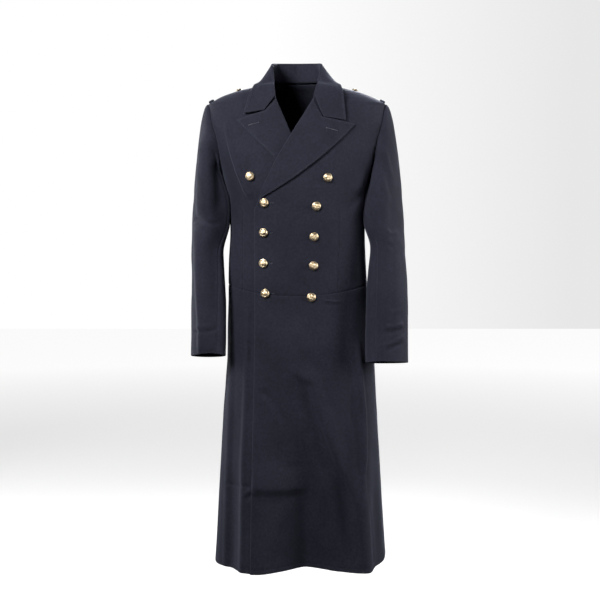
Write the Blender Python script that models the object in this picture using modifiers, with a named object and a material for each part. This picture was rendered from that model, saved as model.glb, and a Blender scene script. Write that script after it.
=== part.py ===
"""Double-breasted military greatcoat, standing open and hollow as it is worn.

Metres, +Z up, +X the coat's left side, -Y its front. The origin is where the
shoulders carry it: the middle of the neck, level with the neck ends of the
shoulder seams. Every panel is cut from one body surface, given by horizontal
sections, so panels that meet or lie on each other share their form.
"""
import math
from collections import namedtuple

import bpy
from mathutils import Matrix, Vector

# Cloth and seams
CLOTH = 0.002
SEAM_GAP = 0.0004
LAPEL_CLEARANCE = 0.0021
TOP_FRONT_LIFT = 0.0070

# Heights
HEM_Z = -1.212
WAIST_Z = -0.535
WAIST_RISE = 0.012
WAIST_RISE_AT = 0.13
NECK_TOP_Z = -0.0025

# Armhole, an oval seen from the side
ARMHOLE_MID_Z = -0.158
ARMHOLE_HALF_HEIGHT = 0.100
ARMHOLE_FRONT = 0.058
ARMHOLE_BACK = 0.062

# Body sections: half width, depth to front and back, squareness of each
Section = namedtuple("Section", "z centre half front back front_power back_power twist")
BODY = (
    Section(0.000, 0.000, 0.075, 0.062, 0.070, 2.0, 2.0, 0.000),
    Section(-0.010, 0.000, 0.092, 0.073, 0.080, 2.0, 2.0, 0.000),
    Section(-0.018, 0.000, 0.120, 0.084, 0.090, 2.0, 2.0, 0.000),
    Section(-0.028, 0.000, 0.158, 0.094, 0.099, 2.0, 2.0, 0.000),
    Section(-0.038, 0.000, 0.187, 0.101, 0.105, 2.0, 2.0, 0.000),
    Section(-0.048, 0.000, 0.207, 0.106, 0.110, 2.1, 2.1, 0.000),
    Section(-0.058, 0.000, 0.2235, 0.109, 0.114, 2.1, 2.1, 0.000),
    Section(-0.100, 0.000, 0.227, 0.116, 0.119, 2.3, 2.3, 0.000),
    Section(-0.140, 0.000, 0.218, 0.121, 0.120, 2.4, 2.4, 0.000),
    Section(-0.200, 0.000, 0.201, 0.125, 0.118, 2.5, 2.4, 0.000),
    Section(-0.260, 0.000, 0.184, 0.125, 0.114, 2.4, 2.4, 0.000),
    Section(-0.320, 0.001, 0.174, 0.122, 0.108, 2.3, 2.3, 0.000),
    Section(-0.380, 0.002, 0.171, 0.118, 0.102, 2.3, 2.3, 0.000),
    Section(-0.450, 0.001, 0.174, 0.115, 0.100, 2.3, 2.3, 0.000),
    Section(-0.535, 0.003, 0.178, 0.116, 0.106, 2.3, 2.3, 0.000),
    Section(-0.620, 0.006, 0.183, 0.123, 0.118, 2.4, 2.2, 0.010),
    Section(-0.720, 0.009, 0.189, 0.136, 0.134, 2.6, 2.2, 0.025),
    Section(-0.900, 0.008, 0.201, 0.160, 0.160, 2.9, 2.2, 0.050),
    Section(-1.212, 0.011, 0.218, 0.192, 0.196, 3.2, 2.2, 0.085),
)

# Main folds of the front: each runs from its top to its low end, and grows on the way
Fold = namedtuple("Fold", "name top_x top_z low_x low_z half_width rise")
FRONT_FOLDS = (
    Fold("chest_drape", -0.185, -0.06, -0.112, -0.30, 0.034, 0.006),
    Fold("front_hollow", 0.010, -0.62, 0.050, -1.212, 0.125, -0.063),
    Fold("free_edge_lobe", -0.104, -0.62, -0.087, -1.212, 0.055, 0.0145),
    Fold("right_chamfer", -0.160, -0.62, -0.1665, -1.212, 0.048, -0.021),
    Fold("left_corner", 0.160, -0.55, 0.171, -1.212, 0.045, 0.032),
    Fold("left_chamfer", 0.186, -0.80, 0.190, -1.212, 0.039, -0.011),
    Fold("diagonal", -0.020, -0.68, 0.140, -1.212, 0.040, 0.012),
)
BACK_FOLDS = (
    Fold("back_left_flute", 0.085, -0.50, 0.120, -1.212, 0.070, 0.016),
    Fold("back_right_flute", -0.085, -0.50, -0.115, -1.212, 0.070, 0.014),
    Fold("back_hollow", 0.000, -0.50, 0.005, -1.212, 0.060, -0.012),
)

# Front edges, from the neck down: the edge of each front seen from the front
Edge = namedtuple("Edge", "z left right")
FRONT_EDGES = (
    Edge(0.0000, 0.0740, -0.0740),
    Edge(-0.0120, 0.0610, -0.0650),
    Edge(-0.0500, 0.0400, -0.0515),
    Edge(-0.1370, -0.0135, -0.0135),
    Edge(-0.2077, -0.0548, 0.0150),
    Edge(-0.2960, -0.0917, 0.0500),
    Edge(-0.3300, -0.1030, 0.0640),
    Edge(-0.6500, -0.1040, 0.0650),
    Edge(-1.2120, -0.1070, 0.0660),
)
GORGE_Z = -0.0500
BREAK_Z = -0.2960

# Lapels seen from the front: notch, peak, and a point half way down the lower edge
Lapel = namedtuple("Lapel", "side notch peak lower_mid")
LAPELS = (
    Lapel("left", (0.0640, -0.0955), (0.1440, -0.1120), (0.0290, -0.2160)),
    Lapel("right", (-0.0790, -0.0790), (-0.1490, -0.1015), (-0.0500, -0.1990)),
)

# Collar: fold line and outer edge at stations from each front end to the middle of the back
Collar = namedtuple("Collar", "along fold_x fold_y fold_z edge_x edge_y edge_z")
COLLAR_LEFT = (
    Collar(0.00, 0.0425, -0.0880, -0.0440, 0.1205, -0.0790, -0.1030),
    Collar(0.12, 0.0530, -0.0620, -0.0120, 0.1135, -0.0600, -0.0560),
    Collar(0.35, 0.0615, -0.0150, 0.0420, 0.1020, -0.0080, -0.0110),
    Collar(0.65, 0.0500, 0.0520, 0.0500, 0.0800, 0.0730, -0.0200),
    Collar(1.00, 0.0000, 0.0740, 0.0520, 0.0000, 0.1010, -0.0240),
)
COLLAR_RIGHT = (
    Collar(0.00, -0.0540, -0.0880, -0.0440, -0.1320, -0.0760, -0.0860),
    Collar(0.12, -0.0590, -0.0620, -0.0120, -0.1130, -0.0560, -0.0480),
    Collar(0.35, -0.0625, -0.0150, 0.0420, -0.0950, -0.0080, -0.0100),
    Collar(0.65, -0.0500, 0.0520, 0.0500, -0.0780, 0.0730, -0.0200),
    Collar(1.00, 0.0000, 0.0740, 0.0520, 0.0000, 0.1010, -0.0240),
)
COLLAR_CLOTH = 0.0018
COLLAR_FOLD_RADIUS = 0.0027
COLLAR_LIFT = 0.0076
COLLAR_SHOULDER_LIFT = 0.0046
COLLAR_SHOULDER = 0.35
STAND_END_HEIGHT = 0.002
NOTCH_SHARE = 0.33
NOTCH_GAP = 0.0010

# Sleeves: middle, reach to each side, half depth, turn about the arm, forward tilt
Sleeve = namedtuple("Sleeve", "z centre_x centre_y reach half_depth turn tilt")
SLEEVE_LEFT = (
    Sleeve(-0.2900, 0.2220, -0.012, 0.0450, 0.075, 18, 0),
    Sleeve(-0.3600, 0.2215, -0.018, 0.0505, 0.074, 20, 0),
    Sleeve(-0.4200, 0.2295, -0.030, 0.0450, 0.071, 12, 2),
    Sleeve(-0.4800, 0.2275, -0.050, 0.0490, 0.068, 10, 5),
    Sleeve(-0.5600, 0.2240, -0.082, 0.0530, 0.065, 8, 8),
    Sleeve(-0.7000, 0.2222, -0.122, 0.0530, 0.062, 6, 9),
)
SLEEVE_RIGHT = (
    Sleeve(-0.2900, 0.2190, -0.012, 0.0435, 0.075, 18, 0),
    Sleeve(-0.3600, 0.2192, -0.018, 0.0477, 0.074, 18, 0),
    Sleeve(-0.4300, 0.2258, -0.028, 0.0413, 0.071, 10, 2),
    Sleeve(-0.5000, 0.2230, -0.046, 0.0425, 0.068, 8, 6),
    Sleeve(-0.5600, 0.2220, -0.062, 0.0440, 0.065, 6, 8),
    Sleeve(-0.6860, 0.2210, -0.095, 0.0435, 0.062, 4, 10),
)
SLEEVE_SEAM_FRONT = math.radians(118)
SLEEVE_SEAM_BACK = math.radians(128)

# Buttons, seen from the front
BUTTON_RADIUS = 0.0110
BUTTON_HEIGHT = 0.0082
BUTTON_SHANK = 0.0032
BUTTON_STEPS = 12
ButtonRow = namedtuple("ButtonRow", "row left_x left_z right_x right_z")
BUTTON_ROWS = (
    ButtonRow(1, 0.0735, -0.2435, -0.1140, -0.2405),
    ButtonRow(2, 0.0465, -0.3130, -0.0775, -0.3045),
    ButtonRow(3, 0.0410, -0.3880, -0.0795, -0.3785),
    ButtonRow(4, 0.0400, -0.4600, -0.0805, -0.4545),
    ButtonRow(5, 0.0350, -0.5380, -0.0760, -0.5290),
)
SHOULDER_BUTTON_X = 0.146
SHOULDER_BUTTON_SCALE = 0.70

# Shoulder loops, strips of cloth laid over the shoulder seam near the sleeve
LOOP_X = 0.2145
LOOP_WIDTH = 0.012
LOOP_HALF_LENGTH = 0.018
LOOP_ARCH = 0.0026
LOOP_CLEARANCE = 0.0007
LOOP_CLOTH = 0.0016

# Mesh fineness
ARMHOLE_ROWS = 9
FRONT_COLUMNS = 14
BACK_COLUMNS = 10
SLEEVE_CAP_ROWS = 6
SLEEVE_STEP = 0.045
TOP_SLEEVE_COLUMNS = 13
UNDER_SLEEVE_COLUMNS = 9
COLLAR_COLUMNS = 28
COLLAR_FALL_ROWS = 6

NAVY = (0.018, 0.020, 0.034, 1.0)
BRASS = (0.62, 0.42, 0.17, 1.0)


def clear_scene():
    for item in list(bpy.data.objects):
        bpy.data.objects.remove(item, do_unlink=True)


def smooth(value):
    """Ease from 0 to 1."""
    value = min(max(value, 0.0), 1.0)
    return value * value * (3 - 2 * value)


def mix(start, end, share):
    return start + (end - start) * share


def read(table, key, column, place):
    """A column of a table at any place of its key, as one even curve with no overshoot."""
    keys = [getattr(row, key) for row in table]
    values = [getattr(row, column) for row in table]
    if keys[0] > keys[-1]:
        keys = keys[::-1]
        values = values[::-1]
    place = min(max(place, keys[0]), keys[-1])
    steps = [b - a for a, b in zip(keys, keys[1:])]
    slopes = [(b - a) / step for a, b, step in zip(values, values[1:], steps)]
    index = 0
    while index < len(steps) - 1 and place > keys[index + 1]:
        index += 1

    def slope_at(knot):
        if knot == 0:
            return slopes[0]
        if knot == len(slopes):
            return slopes[-1]
        before = slopes[knot - 1]
        after = slopes[knot]
        if before * after <= 0:
            return 0.0
        return 2 * before * after / (before + after)

    step = steps[index]
    t = (place - keys[index]) / step
    start = slope_at(index) * step
    end = slope_at(index + 1) * step
    rise = values[index + 1] - values[index]
    return values[index] + t * start + t * t * (3 * rise - 2 * start - end) + t ** 3 * (start + end - 2 * rise)


def shares(columns):
    """Shares of the way across a panel, with a narrow column at each seam that keeps its edge square."""
    narrow = 0.025
    return [0.0] + [mix(narrow, 1 - narrow, index / (columns - 2)) for index in range(columns - 1)] + [1.0]


def section_at(z):
    columns = [read(BODY, "z", column, z) for column in Section._fields[1:]]
    return Section(z, *columns)


def fold_rise(folds, x, z):
    """How far the folds stand out of the plain section."""
    total = 0.0
    for fold in folds:
        share = (fold.top_z - z) / (fold.top_z - fold.low_z)
        middle = mix(fold.top_x, fold.low_x, min(max(share, 0.0), 1.0))
        away = abs(x - middle) / fold.half_width
        past_low_end = smooth((fold.low_z - z) / 0.06)
        if away < 1:
            total += fold.rise * smooth(share) * (1 - past_low_end) * (0.5 + 0.5 * math.cos(math.pi * away))
    return total


def body_point(angle, z):
    """The body surface: angle 0 at the left side, -90 degrees at the front, 90 at the back."""
    s = section_at(z)
    across = math.cos(angle)
    along = math.sin(angle)
    front = along < 0
    depth = s.front if front else s.back
    power = s.front_power if front else s.back_power
    size = (abs(across) ** power + abs(along) ** power) ** (-1 / power)
    x = s.half * across * size
    y = depth * along * size
    rise = fold_rise(FRONT_FOLDS if front else BACK_FOLDS, x + s.centre, z)
    out = Vector((x / s.half ** 2, y / depth ** 2)).normalized()
    return Vector((s.centre + x + rise * out.x + s.twist * y, y + rise * out.y, z))


def body_normal(angle, z):
    step = 0.004
    around = body_point(angle + step, z) - body_point(angle - step, z)
    up = body_point(angle, z + step) - body_point(angle, z - step)
    return around.cross(up).normalized()


def angle_of_x(x, z, front=True):
    s = section_at(z)
    power = s.front_power if front else s.back_power
    deep = -s.front if front else s.back
    depth = 0.0
    for _ in range(4):
        share = min(max((x - s.centre - s.twist * deep * depth) / s.half, -0.9999), 0.9999)
        depth = (1 - abs(share) ** power) ** (1 / power)
    return math.atan2(-depth if front else depth, share)


def angle_of_y(y, z, side):
    """The angle at which the body surface has this depth, on one side."""
    s = section_at(z)
    front = y < 0
    power = s.front_power if front else s.back_power
    share = min(abs(y) / (s.front if front else s.back), 0.999)
    across = (1 - share ** power) ** (1 / power)
    return math.atan2(math.copysign(share, y), side * across)


def front_point(x, z, lift=0.0):
    angle = angle_of_x(x, z)
    return body_point(angle, z) + body_normal(angle, z) * lift


def top_front_lift(x, z):
    """The left front lies over the right one, and comes down to the body beyond it."""
    across = 1 - smooth((x - 0.086) / 0.045)
    down = 1 - smooth((z + 0.125) / 0.055)
    return TOP_FRONT_LIFT * across * down


def no_lift(x, z):
    return 0.0


def front_edge_x(side, z):
    return read(FRONT_EDGES, "z", side, z)


def armhole_half_depth(z, front):
    share = (z - ARMHOLE_MID_Z) / ARMHOLE_HALF_HEIGHT
    width = ARMHOLE_FRONT if front else ARMHOLE_BACK
    return width * math.sqrt(max(1 - share * share, 0.0))


def outer_angle(side, z, front):
    """Where a panel ends at its side: shoulder seam, armhole or side seam."""
    facing = -1 if front else 1
    if abs(z - ARMHOLE_MID_Z) >= ARMHOLE_HALF_HEIGHT:
        depth = section_at(z).front if front else section_at(z).back
        from_seam = SEAM_GAP / 2 / depth
        return facing * (from_seam if side > 0 else math.pi - from_seam)
    return angle_of_y(facing * (armhole_half_depth(z, front) + SEAM_GAP / 2), z, side)


def armhole_rows():
    """Heights that follow the armhole's oval, closer together at its top and bottom."""
    turns = [math.pi * step / ARMHOLE_ROWS for step in range(ARMHOLE_ROWS + 1)]
    return [ARMHOLE_MID_Z + ARMHOLE_HALF_HEIGHT * math.cos(turn) for turn in turns]


def even_rows(top, bottom, step):
    count = max(1, round((top - bottom) / step))
    return [mix(top, bottom, index / count) for index in range(count + 1)]


def material(name, colour, roughness, metallic):
    made = bpy.data.materials.new(name)
    made.use_nodes = True
    shader = made.node_tree.nodes["Principled BSDF"]
    shader.inputs["Base Color"].default_value = colour
    shader.inputs["Roughness"].default_value = roughness
    shader.inputs["Metallic"].default_value = metallic
    made.diffuse_color = colour
    return made


def add_mesh(name, points, faces, collection, colour=NAVY, roughness=0.85, metallic=0.0):
    mesh = bpy.data.meshes.new(name)
    mesh.from_pydata([tuple(point) for point in points], [], faces)
    mesh.materials.append(material(name, colour, roughness, metallic))
    item = bpy.data.objects.new(name, mesh)
    collection.objects.link(item)
    return item


def cloth_wall(name, grid, collection, thickness=CLOTH, flip=False):
    """A sheet through a grid of points, thickened towards its inner side."""
    columns = len(grid[0])
    points = [point for row in grid for point in row]
    faces = []
    for row in range(len(grid) - 1):
        for column in range(columns - 1):
            corner = row * columns + column
            face = (corner, corner + 1, corner + 1 + columns, corner + columns)
            faces.append(face if flip else face[::-1])
    item = add_mesh(name, points, faces, collection)
    item.data.shade_smooth()
    solidify = item.modifiers.new("Cloth", "SOLIDIFY")
    solidify.thickness = thickness
    solidify.offset = -1
    solidify.use_even_offset = True
    return item


def front_grid(side_name, rows, lift, columns, waist_share, gap=0.0):
    """Rows of one front, from its free edge or roll line round to its side."""
    side = 1 if side_name == "left" else -1
    grid = []
    for z in rows:
        start = angle_of_x(front_edge_x(side_name, z), z)
        seam = 0.0 if side > 0 else -math.pi
        cut = outer_angle(side, z, True) - seam
        row = []
        for share in shares(columns):
            angle = mix(start, seam, share) + cut * share ** 3
            plain = body_point(angle, z)
            rise = waist_share(z) * WAIST_RISE * (plain.x / WAIST_RISE_AT) ** 2
            height = z + rise + gap
            point = body_point(angle, height)
            row.append(point + body_normal(angle, height) * lift(plain.x, height))
        grid.append(row)
    return grid


def build_front(side_name, collection):
    lift = top_front_lift if side_name == "left" else no_lift
    flip = side_name == "right"
    neck_rows = [NECK_TOP_Z, -0.007, -0.013, -0.021, -0.031, -0.041, GORGE_Z]
    chest_rows = armhole_rows()
    waist_rows = even_rows(chest_rows[-1], WAIST_Z, 0.036)[1:]
    bodice_rows = neck_rows + chest_rows + waist_rows
    skirt_rows = even_rows(WAIST_Z, HEM_Z, 0.055)

    def bodice_share(z):
        return smooth((-0.40 - z) / (-0.40 - WAIST_Z))

    def skirt_share(z):
        return 1 - smooth((WAIST_Z - z) / 0.25)

    bodice = front_grid(side_name, bodice_rows, lift, FRONT_COLUMNS, bodice_share)
    skirt = front_grid(side_name, skirt_rows, lift, FRONT_COLUMNS + 3, skirt_share)
    for index, point in enumerate(skirt[0]):
        skirt[0][index] = point - Vector((0, 0, SEAM_GAP))
    cloth_wall("front_" + side_name + "_bodice", bodice, collection, flip=flip)
    cloth_wall("front_" + side_name + "_skirt", skirt, collection, flip=flip)


def build_back(side_name, collection):
    """One half of the back, from the centre back seam round to its side."""
    side = 1 if side_name == "left" else -1
    shoulder_rows = [NECK_TOP_Z, -0.008, -0.016, -0.028, -0.043]
    chest_rows = armhole_rows()
    rows = shoulder_rows + chest_rows + even_rows(chest_rows[-1], HEM_Z, 0.056)[1:]
    grid = []
    for z in rows:
        start = math.pi / 2 - side * SEAM_GAP / 2 / section_at(z).half
        seam = 0.0 if side > 0 else math.pi
        cut = outer_angle(side, z, False) - seam
        grid.append([body_point(mix(start, seam, share) + cut * share ** 3, z) for share in shares(BACK_COLUMNS)])
    cloth_wall("back_" + side_name, grid, collection, flip=side > 0)


def curve_point(points, share):
    """A point on a smooth curve through three points, by its share of the way."""
    start, middle, end = points
    control = (2 * middle[0] - (start[0] + end[0]) / 2, 2 * middle[1] - (start[1] + end[1]) / 2)
    keep = 1 - share
    return tuple(keep * keep * a + 2 * keep * share * c + share * share * b for a, b, c in zip(start, end, control))


def lapel_outline(lapel, along, across):
    """A place on the lapel: along runs up from the break, across runs out from the roll line."""
    break_point = (front_edge_x(lapel.side, BREAK_Z), BREAK_Z)
    z = mix(BREAK_Z, GORGE_Z, along)
    roll = (front_edge_x(lapel.side, z), z)
    lower = curve_point((break_point, lapel.lower_mid, lapel.peak), along)
    top_start = (front_edge_x(lapel.side, GORGE_Z), GORGE_Z)
    if across < NOTCH_SHARE:
        top = [mix(a, b, across / NOTCH_SHARE) for a, b in zip(top_start, lapel.notch)]
    else:
        top = [mix(a, b, (across - NOTCH_SHARE) / (1 - NOTCH_SHARE)) for a, b in zip(lapel.notch, lapel.peak)]
    straight_top = [mix(a, b, across) for a, b in zip(top_start, lapel.peak)]
    return [mix(r, e, across) + along * (t - s) for r, e, t, s in zip(roll, lower, top, straight_top)]


def build_lapel(lapel, collection):
    """A lapel lies on its front, folded back along the roll line."""
    lift = top_front_lift if lapel.side == "left" else no_lift
    rows = [0.03, 0.12, 0.22, 0.32, 0.42, 0.52, 0.61, 0.70, 0.78, 0.86, 0.93, 0.995]
    acrosses = [0.0, 0.11, 0.22, NOTCH_SHARE, 0.5, 0.66, 0.83, 1.0]
    grid = []
    for along in rows:
        row = []
        for across in acrosses:
            x, z = lapel_outline(lapel, along, across)
            height = lift(x, z) + LAPEL_CLEARANCE + CLOTH
            row.append(front_point(x, z, height))
        grid.append(row)
    cloth_wall("lapel_" + lapel.side, grid, collection, flip=lapel.side == "left")


def outside_by(point):
    """About how far a point stands off the body surface, and the way out. The neck narrows above the seam."""

    def level(place):
        s = section_at(min(place.z, 0.0))
        above = max(place.z, 0.0)
        front = place.y < 0
        half = s.half - 2.4 * above
        depth = s.front - 1.3 * above if front else s.back - 1.2 * above
        power = s.front_power if front else s.back_power
        return (abs((place.x - s.centre) / half) ** power + abs(place.y / depth) ** power) ** (1 / power)

    step = 0.0005
    here = level(point)
    slope = Vector([(level(point + way) - level(point - way)) / (2 * step)
                    for way in (Vector((step, 0, 0)), Vector((0, step, 0)), Vector((0, 0, step)))])
    return (here - 1) / slope.length, slope.normalized()


def drape_out(point, lift, way):
    """Move a point one way until it lies this far off the body surface, which ends at the neck."""
    lift = lift * smooth((0.008 - point.z) / 0.014)
    for _ in range(6):
        if point.z > 0.008:
            return point
        distance, out = outside_by(point)
        if distance >= lift:
            return point
        point = point + way * (lift - distance) / max(out.dot(way), 0.35)
    return point


def collar_station(table, along):
    fold = Vector([read(table, "along", name, along) for name in ("fold_x", "fold_y", "fold_z")])
    edge = Vector([read(table, "along", name, along) for name in ("edge_x", "edge_y", "edge_z")])
    return fold, edge


def collar_way(along):
    """The way off the body: forward at the front ends, up over the shoulder, back behind the neck."""
    if along < COLLAR_SHOULDER:
        turn = math.pi / 2 * along / COLLAR_SHOULDER
    else:
        turn = math.pi / 2 * (1 + 0.6 * (along - COLLAR_SHOULDER) / (1 - COLLAR_SHOULDER))
    return Vector((0, -math.cos(turn), math.sin(turn)))


def neck_seam_point(side, along, inner_top):
    """Where the stand meets the neck edge of the fronts and back."""
    if along < COLLAR_SHOULDER:
        z = mix(GORGE_Z, NECK_TOP_Z, (along / COLLAR_SHOULDER) ** 0.8)
        name = "left" if side > 0 else "right"
        beside = 0.0016 + COLLAR_CLOTH
        seam = front_point(front_edge_x(name, z) - side * beside, z)
        return mix(inner_top - Vector((0, 0, STAND_END_HEIGHT)), seam, smooth(along / 0.12))
    turn = (along - COLLAR_SHOULDER) / (1 - COLLAR_SHOULDER) * math.pi / 2
    return Vector((side * 0.0700 * math.cos(turn), 0.0660 * math.sin(turn), 0.0012))


def collar_column(side, lapel, table, along):
    """One column of the collar: up the stand, over the fold and down the fall."""
    fold, edge = collar_station(table, along)
    way = collar_way(along)
    lift = mix(COLLAR_LIFT, COLLAR_SHOULDER_LIFT, smooth(along / COLLAR_SHOULDER))
    lift += top_front_lift(edge.x, edge.z) if side > 0 else 0.0
    fold = drape_out(fold, lift, way)
    edge = drape_out(edge, lift, way)
    out = Vector((edge.x - fold.x, edge.y - fold.y, 0)).normalized()
    radius = COLLAR_FOLD_RADIUS
    up = Vector((0, 0, 1))
    inner_top = fold - out * radius - up * radius
    outer_top = fold + out * radius - up * radius
    neck = neck_seam_point(side, along, inner_top)
    points = [neck, mix(neck, inner_top, 0.5), inner_top, fold - out * 0.6 * radius, fold]
    points += [fold + out * 0.6 * radius, drape_out(outer_top, lift, way)]
    end_share = 1 - smooth(along / 0.12)
    notch = Vector((lapel.notch[0] + side * NOTCH_GAP, outer_top.y, lapel.notch[1] + NOTCH_GAP))
    for row in range(1, COLLAR_FALL_ROWS + 1):
        share = row / COLLAR_FALL_ROWS
        straight = mix(outer_top, edge, share)
        if share < NOTCH_SHARE:
            bent = mix(outer_top, notch, share / NOTCH_SHARE)
        else:
            bent = mix(notch, edge, (share - NOTCH_SHARE) / (1 - NOTCH_SHARE))
        points.append(drape_out(mix(straight, bent, end_share), lift, way))
    return points


def build_collar(collection):
    half = COLLAR_COLUMNS // 2
    steps = [(column / half) ** 1.15 for column in range(half + 1)]
    grid = [collar_column(1, LAPELS[0], COLLAR_LEFT, along) for along in steps[:-1]]
    grid += [collar_column(-1, LAPELS[1], COLLAR_RIGHT, along) for along in steps[::-1]]
    cloth_wall("collar", grid, collection, thickness=COLLAR_CLOTH, flip=True)


def armhole_point(side, turn, inset):
    """The armhole's rim: turn 0 at the top, 90 degrees at the front."""
    front = math.sin(turn) > 0
    width = (ARMHOLE_FRONT if front else ARMHOLE_BACK) - inset
    y = -width * math.sin(turn)
    z = ARMHOLE_MID_Z + (ARMHOLE_HALF_HEIGHT - inset) * math.cos(turn)
    return body_point(angle_of_y(y, z, side), z)


def sleeve_ring_point(side, table, z, turn):
    """A point of a sleeve section: turn 0 outside, 90 degrees at the front, 180 inside."""
    centre_x, centre_y, reach, half_depth, swing, tilt = [read(table, "z", name, z) for name in Sleeve._fields[1:]]
    swing = math.radians(swing)
    tilt = math.radians(tilt)
    half_width = math.sqrt(reach ** 2 - (half_depth * math.sin(swing)) ** 2) / math.cos(swing)
    out = half_width * math.cos(turn)
    forward = half_depth * math.sin(turn)
    x = out * math.cos(swing) - forward * math.sin(swing)
    y = -out * math.sin(swing) - forward * math.cos(swing)
    return Vector((side * (centre_x + x), centre_y + y * math.cos(tilt), z - y * math.sin(tilt)))


def sleeve_cap_point(side, table, share, turn):
    """The sleeve head, from the armhole's rim to the sleeve's first full section."""
    start = armhole_point(side, turn, SEAM_GAP * 1.2)
    end = sleeve_ring_point(side, table, table[0].z, turn)
    top = (1 + math.cos(turn)) / 2
    leave = Vector((side * mix(0.012, 0.062, top), -0.022 * math.sin(turn), mix(-0.020, 0.012, top)))
    arrive = Vector((0, 0, -mix(0.030, 0.200, top)))
    cubic = share ** 3
    square = share ** 2
    return (start * (2 * cubic - 3 * square + 1) + leave * (cubic - 2 * square + share)
            + end * (3 * square - 2 * cubic) + arrive * (cubic - square))


def build_sleeve(side_name, collection):
    side = 1 if side_name == "left" else -1
    table = SLEEVE_LEFT if side > 0 else SLEEVE_RIGHT
    lower_rows = even_rows(table[0].z, table[-1].z, SLEEVE_STEP)[1:]
    gap = SEAM_GAP / 2 / 0.06
    pieces = (
        ("top_sleeve_", -SLEEVE_SEAM_BACK + gap, SLEEVE_SEAM_FRONT - gap, TOP_SLEEVE_COLUMNS),
        ("under_sleeve_", SLEEVE_SEAM_FRONT + gap, 2 * math.pi - SLEEVE_SEAM_BACK - gap, UNDER_SLEEVE_COLUMNS),
    )
    for prefix, start, end, columns in pieces:
        turns = [mix(start, end, share) for share in shares(columns)]
        grid = [[sleeve_cap_point(side, table, (row / SLEEVE_CAP_ROWS) ** 1.3, turn) for turn in turns]
                for row in range(SLEEVE_CAP_ROWS + 1)]
        grid += [[sleeve_ring_point(side, table, z, turn) for turn in turns] for z in lower_rows]
        cloth_wall(prefix + side_name, grid, collection, flip=side > 0)


def build_loop(side_name, collection):
    """A strip of cloth arched over the shoulder seam."""
    side = 1 if side_name == "left" else -1
    grid = []
    for row in range(9):
        share = row / 8 * 2 - 1
        y = share * LOOP_HALF_LENGTH
        arch = LOOP_ARCH * (1 - share * share)
        line = []
        for column in (-0.5, 0, 0.5):
            x = side * (LOOP_X + column * LOOP_WIDTH)
            z = shoulder_height(x, y)
            angle = math.atan2(y, x)
            normal = body_normal(angle_of_x(x, z, y < 0) if abs(y) > 0.004 else (0 if side > 0 else math.pi), z)
            line.append(Vector((x, y, z)) + normal * (LOOP_CLEARANCE + LOOP_CLOTH + arch))
        grid.append(line)
    cloth_wall("shoulder_loop_" + side_name, grid, collection, thickness=LOOP_CLOTH, flip=side > 0)


def shoulder_height(x, y):
    """Height of the shoulder over a place in plan."""
    high = 0.0
    low = -0.14
    for _ in range(40):
        z = (high + low) / 2
        s = section_at(z)
        power = s.front_power if y < 0 else s.back_power
        depth = s.front if y < 0 else s.back
        inside = abs((x - s.centre) / s.half) ** power + abs(y / depth) ** power < 1
        if inside:
            low = z
        else:
            high = z
    return (high + low) / 2


def turned_button(name, place, normal, scale, collection):
    """A domed button on its shank, turned about the line out of the cloth."""
    radius = BUTTON_RADIUS * scale
    height = BUTTON_HEIGHT * scale
    profile = [(0.0, height)]
    for degrees in (30, 58, 80):
        bend = math.radians(degrees)
        profile.append((radius * math.sin(bend), height * 0.42 + height * 0.58 * math.cos(bend)))
    profile += [(radius, height * 0.36), (radius * 0.93, height * 0.28), (BUTTON_SHANK * scale, height * 0.28)]
    profile += [(BUTTON_SHANK * scale, 0.0004), (0.0, 0.0004)]
    mesh = bpy.data.meshes.new(name)
    edges = [(index, index + 1) for index in range(len(profile) - 1)]
    mesh.from_pydata([(x, 0, z) for x, z in profile], edges, [])
    mesh.materials.append(material(name, BRASS, 0.35, 1.0))
    item = bpy.data.objects.new(name, mesh)
    collection.objects.link(item)
    screw = item.modifiers.new("Turned", "SCREW")
    screw.axis = "Z"
    screw.steps = BUTTON_STEPS
    screw.render_steps = BUTTON_STEPS
    screw.use_merge_vertices = True
    screw.merge_threshold = 0.00001
    turn = normal.to_track_quat("Z", "X").to_matrix().to_4x4()
    item.matrix_world = Matrix.Translation(place) @ turn
    return item


def build_buttons(collection):
    for row in BUTTON_ROWS:
        left = front_point(row.left_x, row.left_z, top_front_lift(row.left_x, row.left_z))
        normal = body_normal(angle_of_x(row.left_x, row.left_z), row.left_z)
        turned_button("button_left_" + str(row.row), left, normal, 1.0, collection)
        on_top = row.row > 1
        lift = top_front_lift(row.right_x, row.right_z) if on_top else 0.0
        right = front_point(row.right_x, row.right_z, lift)
        normal = body_normal(angle_of_x(row.right_x, row.right_z), row.right_z)
        turned_button("button_right_" + str(row.row), right, normal, 1.0, collection)
    for side_name, side in (("left", 1), ("right", -1)):
        x = side * SHOULDER_BUTTON_X
        z = shoulder_height(x, 0.0)
        normal = body_normal(0.0 if side > 0 else math.pi, z)
        turned_button("button_shoulder_" + side_name, Vector((x, 0, z)) + normal * 0.0004, normal,
                      SHOULDER_BUTTON_SCALE, collection)


def main():
    clear_scene()
    coat = bpy.data.collections.new("military_greatcoat")
    bpy.context.scene.collection.children.link(coat)
    for side_name in ("left", "right"):
        build_front(side_name, coat)
        build_back(side_name, coat)
        build_sleeve(side_name, coat)
        build_loop(side_name, coat)
    for lapel in LAPELS:
        build_lapel(lapel, coat)
    build_collar(coat)
    build_buttons(coat)


main()
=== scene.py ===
"""Looks of the double-breasted greatcoat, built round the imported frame.

Metres, +Z up, +X the coat's left side, -Y its front. The body surface and its
tables are those of the CAD source, read finely here, with the creases, seams,
rolled edges and stitching that soft cloth has.
"""

from collections import namedtuple

import bpy
import numpy as np
from mathutils import Matrix, Vector


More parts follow.
